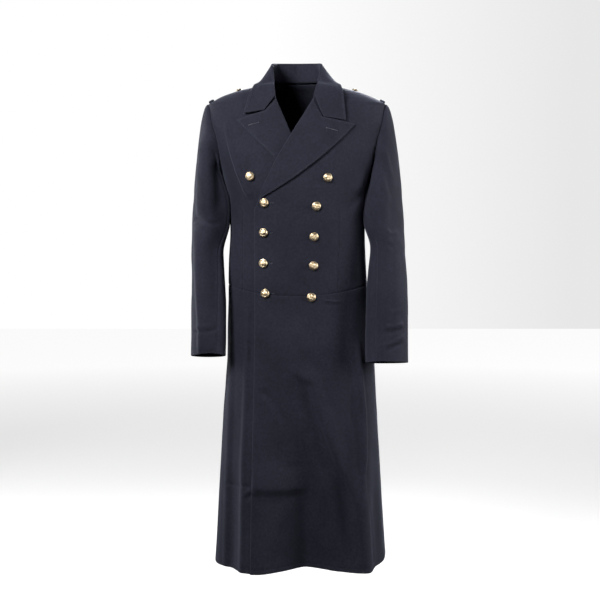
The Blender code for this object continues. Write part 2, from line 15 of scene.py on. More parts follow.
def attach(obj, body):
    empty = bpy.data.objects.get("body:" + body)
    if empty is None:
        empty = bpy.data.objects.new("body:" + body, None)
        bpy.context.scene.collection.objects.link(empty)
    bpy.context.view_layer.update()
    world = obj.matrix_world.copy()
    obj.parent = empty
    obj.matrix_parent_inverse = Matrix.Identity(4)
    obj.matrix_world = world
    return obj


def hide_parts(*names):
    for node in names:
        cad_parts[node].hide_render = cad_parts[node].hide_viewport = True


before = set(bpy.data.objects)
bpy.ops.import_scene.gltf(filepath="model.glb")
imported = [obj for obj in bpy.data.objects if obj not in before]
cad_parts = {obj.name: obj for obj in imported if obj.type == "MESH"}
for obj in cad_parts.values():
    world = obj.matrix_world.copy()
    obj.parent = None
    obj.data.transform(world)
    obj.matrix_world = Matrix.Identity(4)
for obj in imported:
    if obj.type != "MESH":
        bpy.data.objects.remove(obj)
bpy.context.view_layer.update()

# Cloth and seams
CLOTH = 0.0021
FOLDED_CLOTH = 0.0034
SEAM_GAP = -0.0002
SEAM_DEPTH = 0.0011
SEAM_WIDTH = 0.0042
LAPEL_CLEARANCE = 0.0021
LAPEL_CLOTH = 0.0019
TOP_FRONT_LIFT = 0.0070
ROLL_RADIUS = 0.0030
UNDER_ROLL = 0.3

SIDES = (("left", 1), ("right", -1))

# Heights
HEM_Z = -1.212
WAIST_Z = -0.535
WAIST_RISE = 0.012
WAIST_RISE_AT = 0.13
NECK_TOP_Z = -0.0025

# Armhole, an oval seen from the side
ARMHOLE_MID_Z = -0.158
ARMHOLE_HALF_HEIGHT = 0.100
ARMHOLE_FRONT = 0.058
ARMHOLE_BACK = 0.062
# The sleeve's edge lies on the rim, and its turning under the cloth round it: reach and depth of each row
ARMHOLE_OVERLAP = 0.00024
ARMHOLE_TUCKS = ((0.0020, 0.0015), (0.0009, 0.0009))

# The columns of the tables that aren't in millimetres
PLAIN_COLUMNS = "side row along front_power back_power twist turn tilt fade_in fade_out".split()


def rows(kind, *table):
    """The rows of a table, with its millimetres as metres."""
    return [kind(*[value if name in PLAIN_COLUMNS or name == "name" else np.divide(value, 1000)
                   for name, value in zip(kind._fields, row)]) for row in table]


# Body sections: half width, depth to front and back, squareness of each
Section = namedtuple("Section", "z centre half front back front_power back_power twist")
BODY = rows(Section,
    (0, 0, 75, 62, 70, 2, 2, 0),
    (-10, 0, 92, 73, 80, 2, 2, 0),
    (-18, 0, 120, 84, 90, 2, 2, 0),
    (-28, 0, 158, 94, 99, 2, 2, 0),
    (-38, 0, 187, 101, 105, 2, 2, 0),
    (-48, 0, 207, 106, 110, 2.1, 2.1, 0),
    (-58, 0, 223.5, 109, 114, 2.1, 2.1, 0),
    (-100, 0, 227, 116, 119, 2.3, 2.3, 0),
    (-140, 0, 218, 121, 120, 2.4, 2.4, 0),
    (-200, 0, 201, 125, 118, 2.5, 2.4, 0),
    (-260, 0, 184, 125, 114, 2.4, 2.4, 0),
    (-320, 1, 174, 122, 108, 2.3, 2.3, 0),
    (-380, 2, 171, 118, 102, 2.3, 2.3, 0),
    (-450, 1, 174, 115, 100, 2.3, 2.3, 0),
    (-535, 3, 178, 116, 106, 2.3, 2.3, 0),
    (-620, 6, 183, 123, 118, 2.4, 2.2, .01),
    (-720, 9, 189, 136, 134, 2.6, 2.2, .025),
    (-900, 8, 201, 160, 160, 2.9, 2.2, .05),
    (-1212, 11, 218, 192, 196, 3.2, 2.2, .085))

# Main folds, as in the CAD: each runs from its top to its low end, and grows on the way
Fold = namedtuple("Fold", "name top_x top_z low_x low_z half_width rise")
FRONT_FOLDS = rows(Fold,
    ("chest_drape", -185, -60, -112, -300, 34, 6),
    ("front_hollow", 10, -620, 50, -1212, 125, -63),
    ("free_edge_lobe", -104, -620, -87, -1212, 55, 14.5),
    ("right_chamfer", -160, -620, -166.5, -1212, 48, -21),
    ("left_corner", 160, -550, 171, -1212, 45, 32),
    ("left_chamfer", 186, -800, 190, -1212, 39, -11),
    ("diagonal", -20, -680, 140, -1212, 40, 12))
BACK_FOLDS = rows(Fold,
    ("back_left_flute", 85, -500, 120, -1212, 70, 16),
    ("back_right_flute", -85, -500, -115, -1212, 70, 14),
    ("back_hollow", 0, -500, 5, -1212, 60, -12))

# Front edges, from the neck down: the edge of each front seen from the front
Edge = namedtuple("Edge", "z left right")
FRONT_EDGES = rows(Edge,
    (0, 74, -74),
    (-12, 61, -65),
    (-50, 40, -51.5),
    (-137, -13.5, -13.5),
    (-207.7, -54.8, 15),
    (-296, -91.7, 50),
    (-330, -103, 64),
    (-650, -104, 65),
    (-1212, -107, 66))
GORGE_Z = -0.0500
BREAK_Z = -0.2960

# Lapels seen from the front: notch, peak, half way down the lower edge, and the buttonhole's ends
Lapel = namedtuple("Lapel", "side notch peak lower_mid hole_start hole_end")
LAPELS = rows(Lapel,
    ("left", (64, -95.5), (144, -112), (29, -216), (70.6, -122.2), (100, -130)),
    ("right", (-79, -79), (-149, -101.5), (-50, -199), (-119, -116), (-92.1, -108.7)))

# Collar: fold line and outer edge at stations from each front end to the middle of the back
Collar = namedtuple("Collar", "along fold_x fold_y fold_z edge_x edge_y edge_z")
COLLAR_LEFT = rows(Collar,
    (0, 42.5, -88, -44, 120.5, -79, -103),
    (.12, 53, -62, -12, 113.5, -60, -56),
    (.35, 61.5, -15, 42, 102, -8, -11),
    (.65, 50, 52, 50, 80, 73, -20),
    (1, 0, 74, 52, 0, 101, -24))
COLLAR_RIGHT = rows(Collar,
    (0, -54, -88, -44, -132, -76, -86),
    (.12, -59, -62, -12, -113, -56, -48),
    (.35, -62.5, -15, 42, -95, -8, -10),
    (.65, -50, 52, 50, -78, 73, -20),
    (1, 0, 74, 52, 0, 101, -24))
COLLAR_CLOTH = 0.0018
COLLAR_FOLD_RADIUS = 0.0027
COLLAR_LIFT = 0.0076
COLLAR_SHOULDER_LIFT = 0.0046
COLLAR_SHOULDER = 0.35
STAND_END_HEIGHT = 0.002
NOTCH_SHARE = 0.33
NOTCH_GAP = 0.0010

# Sleeves: middle, reach to each side, half depth, turn about the arm, forward tilt
Sleeve = namedtuple("Sleeve", "z centre_x centre_y reach half_depth turn tilt")
SLEEVE_LEFT = rows(Sleeve,
    (-290, 222, -12, 45, 75, 18, 0),
    (-360, 221.5, -18, 50.5, 74, 20, 0),
    (-420, 229.5, -30, 45, 71, 12, 2),
    (-480, 227.5, -50, 49, 68, 10, 5),
    (-560, 224, -82, 53, 65, 8, 8),
    (-700, 222.2, -122, 53, 62, 6, 9))
SLEEVE_RIGHT = rows(Sleeve,
    (-290, 219, -12, 43.5, 75, 18, 0),
    (-360, 219.2, -18, 47.7, 74, 18, 0),
    (-430, 225.8, -28, 41.3, 71, 10, 2),
    (-500, 223, -46, 42.5, 68, 8, 6),
    (-560, 222, -62, 44, 65, 6, 8),
    (-686, 221, -95, 43.5, 62, 4, 10))
# The front of each upper sleeve hangs in over the side of the body
SLEEVE_PRESS = 0.0085
SLEEVE_PRESS_TURN = np.radians(128)
SLEEVE_PRESS_SPREAD = np.radians(32)
SLEEVE_PRESS_Z = -0.315
SLEEVE_PRESS_HEIGHT = 0.055
# The inner front of each sleeve falls back in a flatter plane: turn, spread, depth on each side
PLANE_TURN = np.radians(104)
PLANE_SPREAD = np.radians(34)
PLANE_DEPTH = {"left": 0.007, "right": 0.018}
RIDGE_TURN = np.radians(62)
RIDGE_SPREAD = np.radians(20)
RIDGE_SHARE = 0.22
SLEEVE_SEAM_FRONT = np.radians(118)
SLEEVE_SEAM_BACK = np.radians(128)

# Buttons, seen from the front
BUTTON_RADIUS = 0.0110
BUTTON_HEIGHT = 0.0082
BUTTON_SHANK = 0.0032
ButtonRow = namedtuple("ButtonRow", "row left_x left_z right_x right_z")
BUTTON_ROWS = rows(ButtonRow,
    (1, 73.5, -243.5, -114, -240.5),
    (2, 46.5, -313, -77.5, -304.5),
    (3, 41, -388, -79.5, -378.5),
    (4, 40, -460, -80.5, -454.5),
    (5, 35, -538, -76, -529))
SHOULDER_BUTTON_X = 0.146
SHOULDER_BUTTON_SCALE = 0.70
BUTTON_HOLE = 0.021
STITCH_INSET = 0.0052
HOLE_LIP = 0.0007
HOLE_CORD = 0.00062

# Shoulder loops
LOOP_X = 0.2145
LOOP_WIDTH = 0.012
LOOP_HALF_LENGTH = 0.018
LOOP_ARCH = 0.0026
LOOP_CLEARANCE = 0.0007
LOOP_CLOTH = 0.0016

# Creases seen from the front: a line of (x, z), its width on each hand of the line, its rise
# (below 0 for a trough), and the share over which it fades at its start and its end
Crease = namedtuple("Crease", "name points left right rise fade_in fade_out")
CREASES_FRONT_LEFT = rows(Crease,
    ("underarm_upper", (172, -224, 159, -261, 131, -296), 13, 20, 2.6, .3, .5),
    ("underarm_lower", (168, -286, 144.5, -328, 132, -360), 16, 20, 3, .3, .5),
    ("underarm_hollow", (166, -262, 147, -300, 125, -325), 12, 12, -2, .3, .5),
    ("side_draw", (140, -400, 148, -470, 152, -530), 18, 22, -2.2, .3, .2),
    ("waist_pucker", (62, -544, 76.9, -547.5, 94.3, -550, 111.9, -549), 4.5, 6, 2, .3, .3),
    ("below_pucker", (64, -554.5, 90, -558, 109, -556), 5, 7, -1.6, .3, .3),
    ("skirt_diagonal", (-18, -706, 8, -724, 40, -746, 48, -800, 81, -881, 106, -946, 139, -1009, 155,
     -1054, 164, -1128, 176, -1212), 40, 19, 7.6, .12, 0),
    ("skirt_diagonal_trough", (-24, -722, 0, -742, 28, -762, 36, -808, 66, -890, 90, -957, 122, -1020, 140,
     -1064, 150, -1134, 162, -1212), 15, 46, -6, .12, 0),
    ("faint_diagonal", (-105, -771, -76, -774, -51, -807, -35, -840, -22, -872), 14, 16, -2.4, .15, .4),
    ("faint_diagonal_lip", (-98, -792, -78, -792, -62, -818, -46, -850), 12, 12, 1.8, .2, .4),
    ("upper_diagonal", (-10, -600, 30, -660, 62, -700, 88, -760), 20, 24, 2.8, .3, .4),
    ("side_valley", (133, -640, 135.4, -740, 137.1, -826, 147.4, -884, 155.6, -949, 163, -1010), 12, 13,
     -4.6, .5, .2),
    ("side_ridge", (152, -620, 156.9, -708.5, 166.8, -829, 168.6, -926, 164.1, -974, 165.7, -1022, 170,
     -1090), 7.5, 14, 7.4, .2, .3),
    ("cross_drop", (-115, -1000, -76, -1004, -29, -1007, 12, -1006, 45, -998), 80, 26, 10, .05, .45),
    ("cross_line", (-110, -1036, -76, -1040, -43, -1043, -10, -1043), 10, 20, -1.2, .2, .5),
    ("low_valley", (44, -925, 50, -963, 54, -1005, 58, -1060), 16, 22, -2, .4, .5),
    ("lower_corner", (118, -985, 132, -1020, 146, -1060, 156, -1130, 165, -1205), 6, 20, 3.6, .3, .1),
    ("side_hem", (176, -1030, 182, -1110, 186, -1205), 7, 7, -2.6, .4, .1),
    ("blotch", (-50, -950, -14, -957, 20, -955), 16, 20, -2, .4, .4),
    ("hem_mark", (42, -1106, 43, -1160), 3, 4, -1.2, .2, .2),
    ("dart", (102, -322, 101.7, -422, 100.8, -525), 2.2, 2.2, -1.3, .04, 0),
    ("dart_lip", (106.2, -330, 106, -422, 105, -525), 3.4, 3.4, .3, .1, 0))
CREASES_FRONT_RIGHT = rows(Crease,
    ("chest_ridge", (-183, -89, -165, -166, -145, -230, -128, -271.5, -110.5, -301), 22, 8.5, 5.4, .5, .1),
    ("chest_trough", (-172, -100, -154, -172, -136, -226, -120, -268), 12, 10, -3, .25, .3),
    ("side_draw", (-168, -290, -158, -360, -156, -440), 16, 18, 3, .3, .4),
    ("under_ridge", (-130, -560, -126.8, -624, -124, -695, -126.1, -793, -130.7, -914.5, -132.7, -1035,
     -134.6, -1212), 9, 13, 4, .15, 0),
    ("under_edge_trough", (-115, -560, -114, -650, -113, -740), 8, 8, -3, .2, .4),
    ("under_fold", (-126.7, -655, -118.9, -687, -111.8, -724), 7, 9, 2.8, .3, .3),
    ("outer_ridge", (-162, -600, -166, -760, -172, -960, -178, -1212), 12, 14, 3.4, .2, 0),
    ("under_cross", (-184, -1006, -160, -1006, -146, -1004, -128, -1002, -106, -1000), 7, 5, -2.4, .2, .1),
    ("under_dimple", (-129.3, -1026.5, -122.6, -1016.2, -110, -1008.6), 8, 6, 3.6, .3, .1),
    ("under_dimple_low", (-124, -1040, -119, -1027, -110, -1018), 6, 6, -3.2, .3, .1),
    ("dart", (-133, -322, -134.3, -422.8, -135.6, -526), 2.2, 2.2, -1.3, .04, 0),
    ("dart_lip", (-128.8, -330, -130, -422.8, -131.2, -526), 3.4, 3.4, .3, .1, 0))
CREASES_BACK = rows(Crease,
    ("shoulder_draw_left", (158, -120, 140, -190, 118, -250), 18, 24, 3.6, .3, .5),
    ("shoulder_draw_right", (-160, -115, -145, -180, -126, -236), 24, 18, 3.4, .3, .5),
    ("waist_draw_left", (120, -440, 90, -466, 50, -478), 14, 18, 3, .3, .5),
    ("waist_draw_right", (-126, -452, -96, -474, -60, -482), 18, 14, 2.8, .3, .5),
    ("small_back", (-45, -436, 0, -446, 52, -440), 12, 16, -2.2, .3, .3),
    ("left_ridge", (128, -640, 138, -800, 150, -1000, 160, -1212), 14, 16, 4.4, .2, 0),
    ("right_ridge", (-120, -620, -132, -780, -140, -980, -156, -1212), 15, 13, 4.2, .2, 0),
    ("middle_ridge", (40, -640, 46, -840, 60, -1040, 62, -1212), 16, 14, 3, .3, 0),
    ("back_cross", (-100, -996, -40, -1004, 20, -1000), 8, 22, 3, .3, .4))
CREASES_SLEEVE_LEFT = rows(Crease,
    ("front_break", (192, -180, 200, -240, 209, -310, 213.5, -394, 214, -470, 212, -536, 206, -637, 204,
     -700), 28, 18, 8, .15, .1),
    ("front_break_trough", (180, -240, 186, -330, 192, -400, 192, -480, 188.5, -560, 185, -650), 10, 12,
     -4, .2, .3),
    ("head_drape", (210, -150, 224, -206, 239, -260), 12, 16, 3.4, .3, .4),
    ("head_drape_low", (201, -214, 216, -262, 233, -318), 12, 14, 2.6, .3, .4),
    ("elbow_one", (212, -372, 234, -382, 256, -378), 8, 10, 2.6, .3, .3),
    ("elbow_two", (216, -408, 238, -414, 260, -404), 8, 10, -2.4, .3, .3),
    ("forearm_one", (209.1, -609, 232.3, -606.5, 264, -600), 5, 10, 5, .25, .2),
    ("forearm_one_low", (215, -624, 236, -620, 260, -612), 6, 7, -3, .3, .3),
    ("forearm_two", (210.5, -655, 231.8, -644, 267, -629), 5, 10, 5, .25, .2),
    ("forearm_two_low", (214, -668, 236, -657, 265, -644), 6, 7, -2.8, .3, .3),
    ("forearm_top", (220, -572, 240, -572, 262, -566), 7, 9, 1.8, .3, .3))
CREASES_SLEEVE_RIGHT = rows(Crease,
    ("upper_break", (-230, -120, -236, -180, -238, -240, -240, -300, -244, -350), 40, 16, 10.5, .25, .2),
    ("lower_break", (-248, -350, -245, -400, -243, -470, -238, -540, -233, -600, -230, -690), 40, 18, 11,
     .12, .1),
    ("inner_hollow", (-205, -200, -198, -270, -196, -340), 24, 16, -6, .2, .3),
    ("elbow", (-260, -343, -245.4, -348, -215.8, -357, -189, -358), 10, 9, -4.2, .15, .3),
    ("elbow_lip", (-260, -356, -240, -364, -215, -372), 8, 14, 3.2, .15, .4),
    ("outer_dent", (-262, -196, -252, -200, -238, -192), 10, 12, -3, .2, .3),
    ("cross", (-260, -622, -229, -624, -206.1, -619.6, -188, -613), 6, 8, -3, .2, .3),
    ("cross_lip", (-256, -610, -229, -611, -206.1, -607), 7, 6, 2, .2, .3),
    ("head_drape", (-248, -216, -230, -262, -218, -312), 14, 12, 1.6, .3, .4))
CREASES_SLEEVE_BACK = rows(Crease,
    ("elbow_one", (-30, -372, 0, -384, 30, -378), 9, 12, 3.4, .3, .3),
    ("elbow_two", (-28, -412, 2, -424, 32, -414), 9, 12, 3, .3, .3),
    ("elbow_gap", (-26, -392, 2, -404, 30, -396), 9, 9, -2.6, .3, .3),
    ("forearm", (-24, -560, 4, -574, 30, -590), 10, 12, 2.2, .3, .3))
WAVE_HEIGHT = 0.00042
WAVES = ((0.21, 0.47), (0.13, 0.30), (0.085, 0.22), (0.06, 0.13), (0.10, 0.09))
HEM_STITCH = 0.0105
HEM_GROOVE = 0.0006

# Mesh fineness
EDGE_STEPS = (0.0, 0.0004, 0.0010, 0.0019, 0.0032, 0.0050)
FRONT_STEP = 0.0037
BACK_STEP = 0.0062
SLEEVE_STEP = 0.0040
UNDER_SLEEVE_STEP = 0.0052
COLLAR_STATIONS = 84
BUTTON_STEPS = 48
DOME_RINGS = 17
BUTTON_RIM = ((0.905, 0.600), (0.925, 0.560), (0.955, 0.575), (0.985, 0.545), (1.0, 0.480), (0.990, 0.410),
              (0.950, 0.350), (0.80, 0.290), (0.50, 0.265))
FINE_STEP = 0.0008

# Colours
WOOL_DARK = (0.0124, 0.0132, 0.0228, 1.0)
WOOL_LIGHT = (0.0214, 0.0224, 0.0364, 1.0)
# Painted highlight colour for the free edges, where their rounding catches the light
WOOL_EDGE_HIGHLIGHT = (0.0420, 0.0450, 0.0640, 1.0)
THREAD = (0.0360, 0.0390, 0.0580, 1.0)
HOLE_THREAD = (0.1050, 0.1120, 0.1500, 1.0)
BRASS_BRIGHT = (0.98, 0.80, 0.54, 1.0)
BRASS_DARK = (0.42, 0.27, 0.12, 1.0)
FLECK_DARK = (0.72, 0.72, 0.72, 1.0)
FLECK_LIGHT = (1.28, 1.28, 1.30, 1.0)
SHEEN_TINT = (0.62, 0.66, 0.90, 1.0)
FLOOR_DARK = (0.60, 0.60, 0.60, 1.0)
FLOOR_LIGHT = (0.62, 0.62, 0.62, 1.0)
WHITE = (1.0, 1.0, 1.0, 1.0)
# Share of the painted edge highlight colour at its strongest
EDGE_HIGHLIGHT_SHARE = 0.34
TWILL_TURN = (0.35, 0.62, 0.41)

# The photograph's camera, and the stage
CAMERA_PLACE = (0.0077, -3.4, -0.298)
CAMERA_DOWN = np.radians(4.3)
CAMERA_LENS = 79.98
FLOOR_Z = -1.50
FLOOR_REACH = 9.0
AMBIENT_LOW = 0.005
AMBIENT_HIGH = 0.04
Light = namedtuple("Light", "name spot target size opening power")
LIGHTS = (
    Light("key", (-1.6, -2.3, 1.25), (0.0, 0.0, 0.12), 1.1, 84, 27),
    Light("left_side", (-2.6, -0.5, -0.2), (0.0, 0.0, -0.4), 1.6, 180, 7),
    Light("right_side", (2.6, -0.6, -0.1), (0.0, 0.0, -0.5), 1.6, 180, 46),
    Light("right_front", (2.0, -2.2, 0.1), (0.15, 0.0, -0.1), 1.0, 45, 0.8),
    Light("back", (0.6, 2.9, 0.9), (0.0, 0.0, -0.4), 1.4, 90, 28),
    Light("left_behind", (-2.2, 1.4, 0.2), (0.0, 0.0, -0.5), 1.8, 180, 40),
    Light("right_behind", (2.2, 1.4, 0.2), (0.0, 0.0, -0.5), 1.8, 180, 20),
)


def smooth(value):
    """Ease from 0 to 1."""
    value = np.clip(value, 0.0, 1.0)
    return value * value * (3 - 2 * value)


def mix(start, end, share):
    return start + (end - start) * share


def mix_points(start, end, share):
    return start + (end - start) * np.asarray(share)[..., None]


def unit(vectors):
    return vectors / np.maximum(np.linalg.norm(vectors, axis=-1, keepdims=True), 1e-12)


def read(table, key, column, place):
    """A column of a table at any places of its key, as one even curve with no overshoot."""
    keys = np.array([getattr(row, key) for row in table], float)
    values = np.array([getattr(row, column) for row in table], float)
    if keys[0] > keys[-1]:
        keys = keys[::-1]
        values = values[::-1]
    place = np.clip(place, keys[0], keys[-1])
    steps = np.diff(keys)
    slopes = np.diff(values) / steps
    knots = np.concatenate([slopes[:1], np.zeros(len(slopes) - 1), slopes[-1:]])
    product = slopes[:-1] * slopes[1:]
    same_way = product > 0
    total = np.where(same_way, slopes[:-1] + slopes[1:], 1.0)
    knots[1:-1] = np.where(same_way, 2 * product / total, 0.0)
    index = np.clip(np.searchsorted(keys, place, side="right") - 1, 0, len(steps) - 1)
    t = (place - keys[index]) / steps[index]
    start = knots[index] * steps[index]
    end = knots[index + 1] * steps[index]
    rise = values[index + 1] - values[index]
    bend = t * t * (3 * rise - 2 * start - end)
    return values[index] + t * start + bend + t ** 3 * (start + end - 2 * rise)


def section_at(z):
    return Section(z, *[read(BODY, "z", column, z) for column in Section._fields[1:]])


def fold_rise(folds, x, z):
    """How far the main folds stand out of the plain section."""
    total = 0.0
    for fold in folds:
        share = (fold.top_z - z) / (fold.top_z - fold.low_z)
        middle = mix(fold.top_x, fold.low_x, np.clip(share, 0.0, 1.0))
        away = np.minimum(np.abs(x - middle) / fold.half_width, 1.0)
        past_low_end = smooth((fold.low_z - z) / 0.06)
        total = total + fold.rise * smooth(share) * (1 - past_low_end) * (0.5 + 0.5 * np.cos(np.pi * away))
    return total


def body_point(angle, z):
    """The body surface: angle 0 at the left side, -90 degrees at the front, 90 at the back."""
    angle, z = np.broadcast_arrays(np.asarray(angle, float), np.asarray(z, float))
    s = section_at(z)
    across = np.cos(angle)
    along = np.sin(angle)
    front = along < 0
    depth = np.where(front, s.front, s.back)
    power = np.where(front, s.front_power, s.back_power)
    size = (np.abs(across) ** power + np.abs(along) ** power) ** (-1 / power)
    x = s.half * across * size
    y = depth * along * size
    rise = np.where(front, fold_rise(FRONT_FOLDS, x + s.centre, z), fold_rise(BACK_FOLDS, x + s.centre, z))
    out = unit(np.stack([x / s.half ** 2, y / depth ** 2], -1))
    return np.stack([s.centre + x + rise * out[..., 0] + s.twist * y, y + rise * out[..., 1], z + 0 * x], -1)


def body_normal(angle, z):
    step = 0.004
    around = body_point(angle + step, z) - body_point(angle - step, z)
    up = body_point(angle, z + step) - body_point(angle, z - step)
    return unit(np.cross(around, up))


def angle_of_x(x, z, front=True):
    s = section_at(z)
    power = s.front_power if front else s.back_power
    deep = -s.front if front else s.back
    depth = 0.0
    for _ in range(4):
        share = np.clip((x - s.centre - s.twist * deep * depth) / s.half, -0.9999, 0.9999)
        depth = (1 - np.abs(share) ** power) ** (1 / power)
    return np.arctan2(-depth if front else depth, share)


def angle_of_y(y, z, side):
    """The angle at which the body surface has this depth, on one side."""
    s = section_at(z)
    front = y < 0
    power = np.where(front, s.front_power, s.back_power)
    share = np.minimum(np.abs(y) / np.where(front, s.front, s.back), 0.999)
    across = (1 - share ** power) ** (1 / power)
    return np.arctan2(np.where(front, -share, share), side * across)


def front_point(x, z, lift=0.0):
    angle = angle_of_x(x, z)
    return body_point(angle, z) + body_normal(angle, z) * np.asarray(lift)[..., None]


def top_front_lift(x, z):
    """The left front lies over the right one, and comes down to the body beyond it."""
    across = 1 - smooth((x - 0.086) / 0.045)
    down = 1 - smooth((z + 0.125) / 0.055)
    return TOP_FRONT_LIFT * across * down


def front_edge_x(side_name, z):
    return read(FRONT_EDGES, "z", side_name, z)


def outer_angle(side, z, front):
    """Where a panel ends at its side: shoulder seam, armhole or side seam."""
    facing = -1 if front else 1
    s = section_at(z)
    from_seam = SEAM_GAP / 2 / (s.front if front else s.back)
    plain = facing * (from_seam if side > 0 else np.pi - from_seam)
    share = (z - ARMHOLE_MID_Z) / ARMHOLE_HALF_HEIGHT
    inside = np.abs(share) < 1
    width = ARMHOLE_FRONT if front else ARMHOLE_BACK
    reach = width * np.sqrt(np.clip(1 - share * share, 0, 1)) + SEAM_GAP / 2
    return np.where(inside, angle_of_y(facing * reach, z, side), plain)


def crease_height(creases, x, z):
    """The height that creases add at places seen from the front."""
    total = np.zeros(np.broadcast(x, z).shape)
    for crease in creases:
        points = crease.points.reshape(-1, 2)
        ways = np.diff(points, axis=0)
        lengths = np.linalg.norm(ways, axis=1)
        whole = lengths.sum()
        nearest = np.full(total.shape, 9.0)
        along = np.zeros(total.shape)
        width = np.full(total.shape, crease.left)
        before = 0.0
        for start, way, length in zip(points[:-1], ways, lengths):
            way = way / length
            from_start = np.clip((x - start[0]) * way[0] + (z - start[1]) * way[1], 0, length)
            off_x = x - start[0] - way[0] * from_start
            off_z = z - start[1] - way[1] * from_start
            distance = np.hypot(off_x, off_z)
            closer = distance < nearest
            on_left = way[0] * off_z - way[1] * off_x > 0
            nearest = np.where(closer, distance, nearest)
            along = np.where(closer, (before + from_start) / whole, along)
            width = np.where(closer, np.where(on_left, crease.left, crease.right), width)
            before += length
        fade = smooth(along / crease.fade_in) if crease.fade_in else 1.0
        if crease.fade_out:
            fade = fade * smooth((1 - along) / crease.fade_out)
        total += crease.rise * fade * (0.5 + 0.5 * np.cos(np.pi * np.minimum(nearest / width, 1.0)))
    return total


def soft_waves(u, v, seed):
    """Slight unevenness of cloth over a wide area."""
    total = 0.0
    for index, (wide, tall) in enumerate(WAVES):
        phase = seed * 1.7 + index * 2.3
        total = total + np.sin(2 * np.pi * u / wide + phase + 1.3 * np.sin(v / tall * 4 + phase)) \
            * np.cos(2 * np.pi * v / tall + 0.7 * phase) / (1 + 0.5 * index)
    return WAVE_HEIGHT * total


def spread(length, step, extra=()):
    """Shares of a length, closer together at both ends and round each extra place (middle, reach)."""
    ends = np.array(EDGE_STEPS)
    count = max(2, int(round((length - 2 * ends[-1]) / step)))
    places = [*ends[:-1], *np.linspace(ends[-1], length - ends[-1], count + 1), *(length - ends[:-1])]
    for middle, reach in extra:
        places = [place for place in places if abs(place - middle) > reach]
        places += list(np.arange(middle - reach, middle + reach + FINE_STEP / 2, FINE_STEP))
    return np.array(sorted(place for place in places if -1e-9 <= place <= length + 1e-9)) / length


def rows_by_length(top, bottom, step, extra=()):
    """Heights evenly far apart along the body's side outline, fine at both ends."""
    z = np.linspace(top, bottom, 600)
    run = np.concatenate([[0], np.cumsum(np.hypot(np.diff(z), 0.85 * np.diff(section_at(z).half)))])
    return np.interp(spread(run[-1], step, extra) * run[-1], run, z)


def grid_normals(grid, facing):
    across = np.gradient(grid, axis=1)
    down = np.gradient(grid, axis=0)
    return unit(np.cross(across, down)) * facing


def runs(points):
    """Length along each line of points, whose places are on the second last axis."""
    steps = np.linalg.norm(np.diff(points, axis=-2), axis=-1)
    return np.insert(np.cumsum(steps, axis=-1), 0, 0.0, axis=-1)


def edge_distances(grid):
    """Distance of every point of a grid from its first and last column and row."""
    from_left = runs(grid)
    from_top = runs(grid.swapaxes(0, 1)).T
    return {"first_column": from_left, "last_column": from_left[:, -1:] - from_left,
            "first_row": from_top, "last_row": from_top[-1:] - from_top}


def link_object(name, data):
    item = bpy.data.objects.new(name, data)
    bpy.context.scene.collection.objects.link(item)
    return item


def new_object(name, points, faces, material_made, worn=None):
    mesh = bpy.data.meshes.new(name)
    mesh.from_pydata([tuple(point) for point in points], [], faces)
    mesh.materials.append(material_made)
    mesh.shade_smooth()
    # A mask of painted highlight along free edges, read by the material
    if worn is not None:
        layer = mesh.attributes.new("worn", "FLOAT", "POINT")
        layer.data.foreach_set("value", np.asarray(worn, np.float32))
    return link_object(name, mesh)


def place(item, node, slot_name):
    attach(item, "root")
    if node:
        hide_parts(node)


def shell(node_name, grid, facing, wool, thickness=CLOTH, free=(), seams=()):
    """A thin closed sheet under a grid of points. Free edges are rounded, a little thicker and carry a
    painted highlight mask; seams dip and lower that mask.
    """
    size = grid.shape[:2]
    normals = grid_normals(grid, facing)
    distances = edge_distances(grid)
    worn = np.zeros(size)
    thick = np.full(size, thickness)
    # Painted highlight mask: strongest at free edges, fading within a few millimetres
    for edge in free:
        worn = np.maximum(worn, np.exp(-distances[edge] / 0.0035))
        thick = thick + (FOLDED_CLOTH - thickness) * (1 - smooth((distances[edge] - 0.006) / 0.012)) * 0.5
    drop_out = np.zeros(size)
    drop_in = np.zeros(size)
    for edge in free:
        short = np.clip(1 - distances[edge] / (thick * 0.62), 0, 1)
        bend = thick * 0.47 * (1 - np.sqrt(np.clip(1 - short * short, 0, 1)))
        drop_out = np.maximum(drop_out, bend)
        drop_in = np.maximum(drop_in, bend)
    for edge in seams:
        drop_out = np.maximum(drop_out, SEAM_DEPTH * (1 - smooth(distances[edge] / SEAM_WIDTH)))
        # The painted highlight mask drops at seams
        worn = worn - 0.5 * np.exp(-distances[edge] / 0.0012)
    outer = grid - normals * drop_out[..., None]
    inner = grid - normals * (thick - drop_in)[..., None]
    points = np.concatenate([outer.reshape(-1, 3), inner.reshape(-1, 3)])
    index = np.arange(grid.size // 3).reshape(size)
    quads = np.stack([index[:-1, :-1], index[:-1, 1:], index[1:, 1:], index[1:, :-1]], -1).reshape(-1, 4)
    rim = np.concatenate([index[0, :-1], index[:-1, -1], index[-1, :0:-1], index[:0:-1, 0]])
    after = np.roll(rim, -1)
    walls = np.stack([rim, rim + index.size, after + index.size, after], -1)
    faces = np.concatenate([quads, quads[:, ::-1] + index.size, walls])[:, ::facing].tolist()
    item = new_object("cloth_" + node_name, points, faces, wool, np.tile(worn.ravel(), 2))
    place(item, node_name, "wool")
    return outer, normals


# The maker's cut of each sheet: width and length of the cloth, and its flat area
Cut = namedtuple("Cut", "width length area")


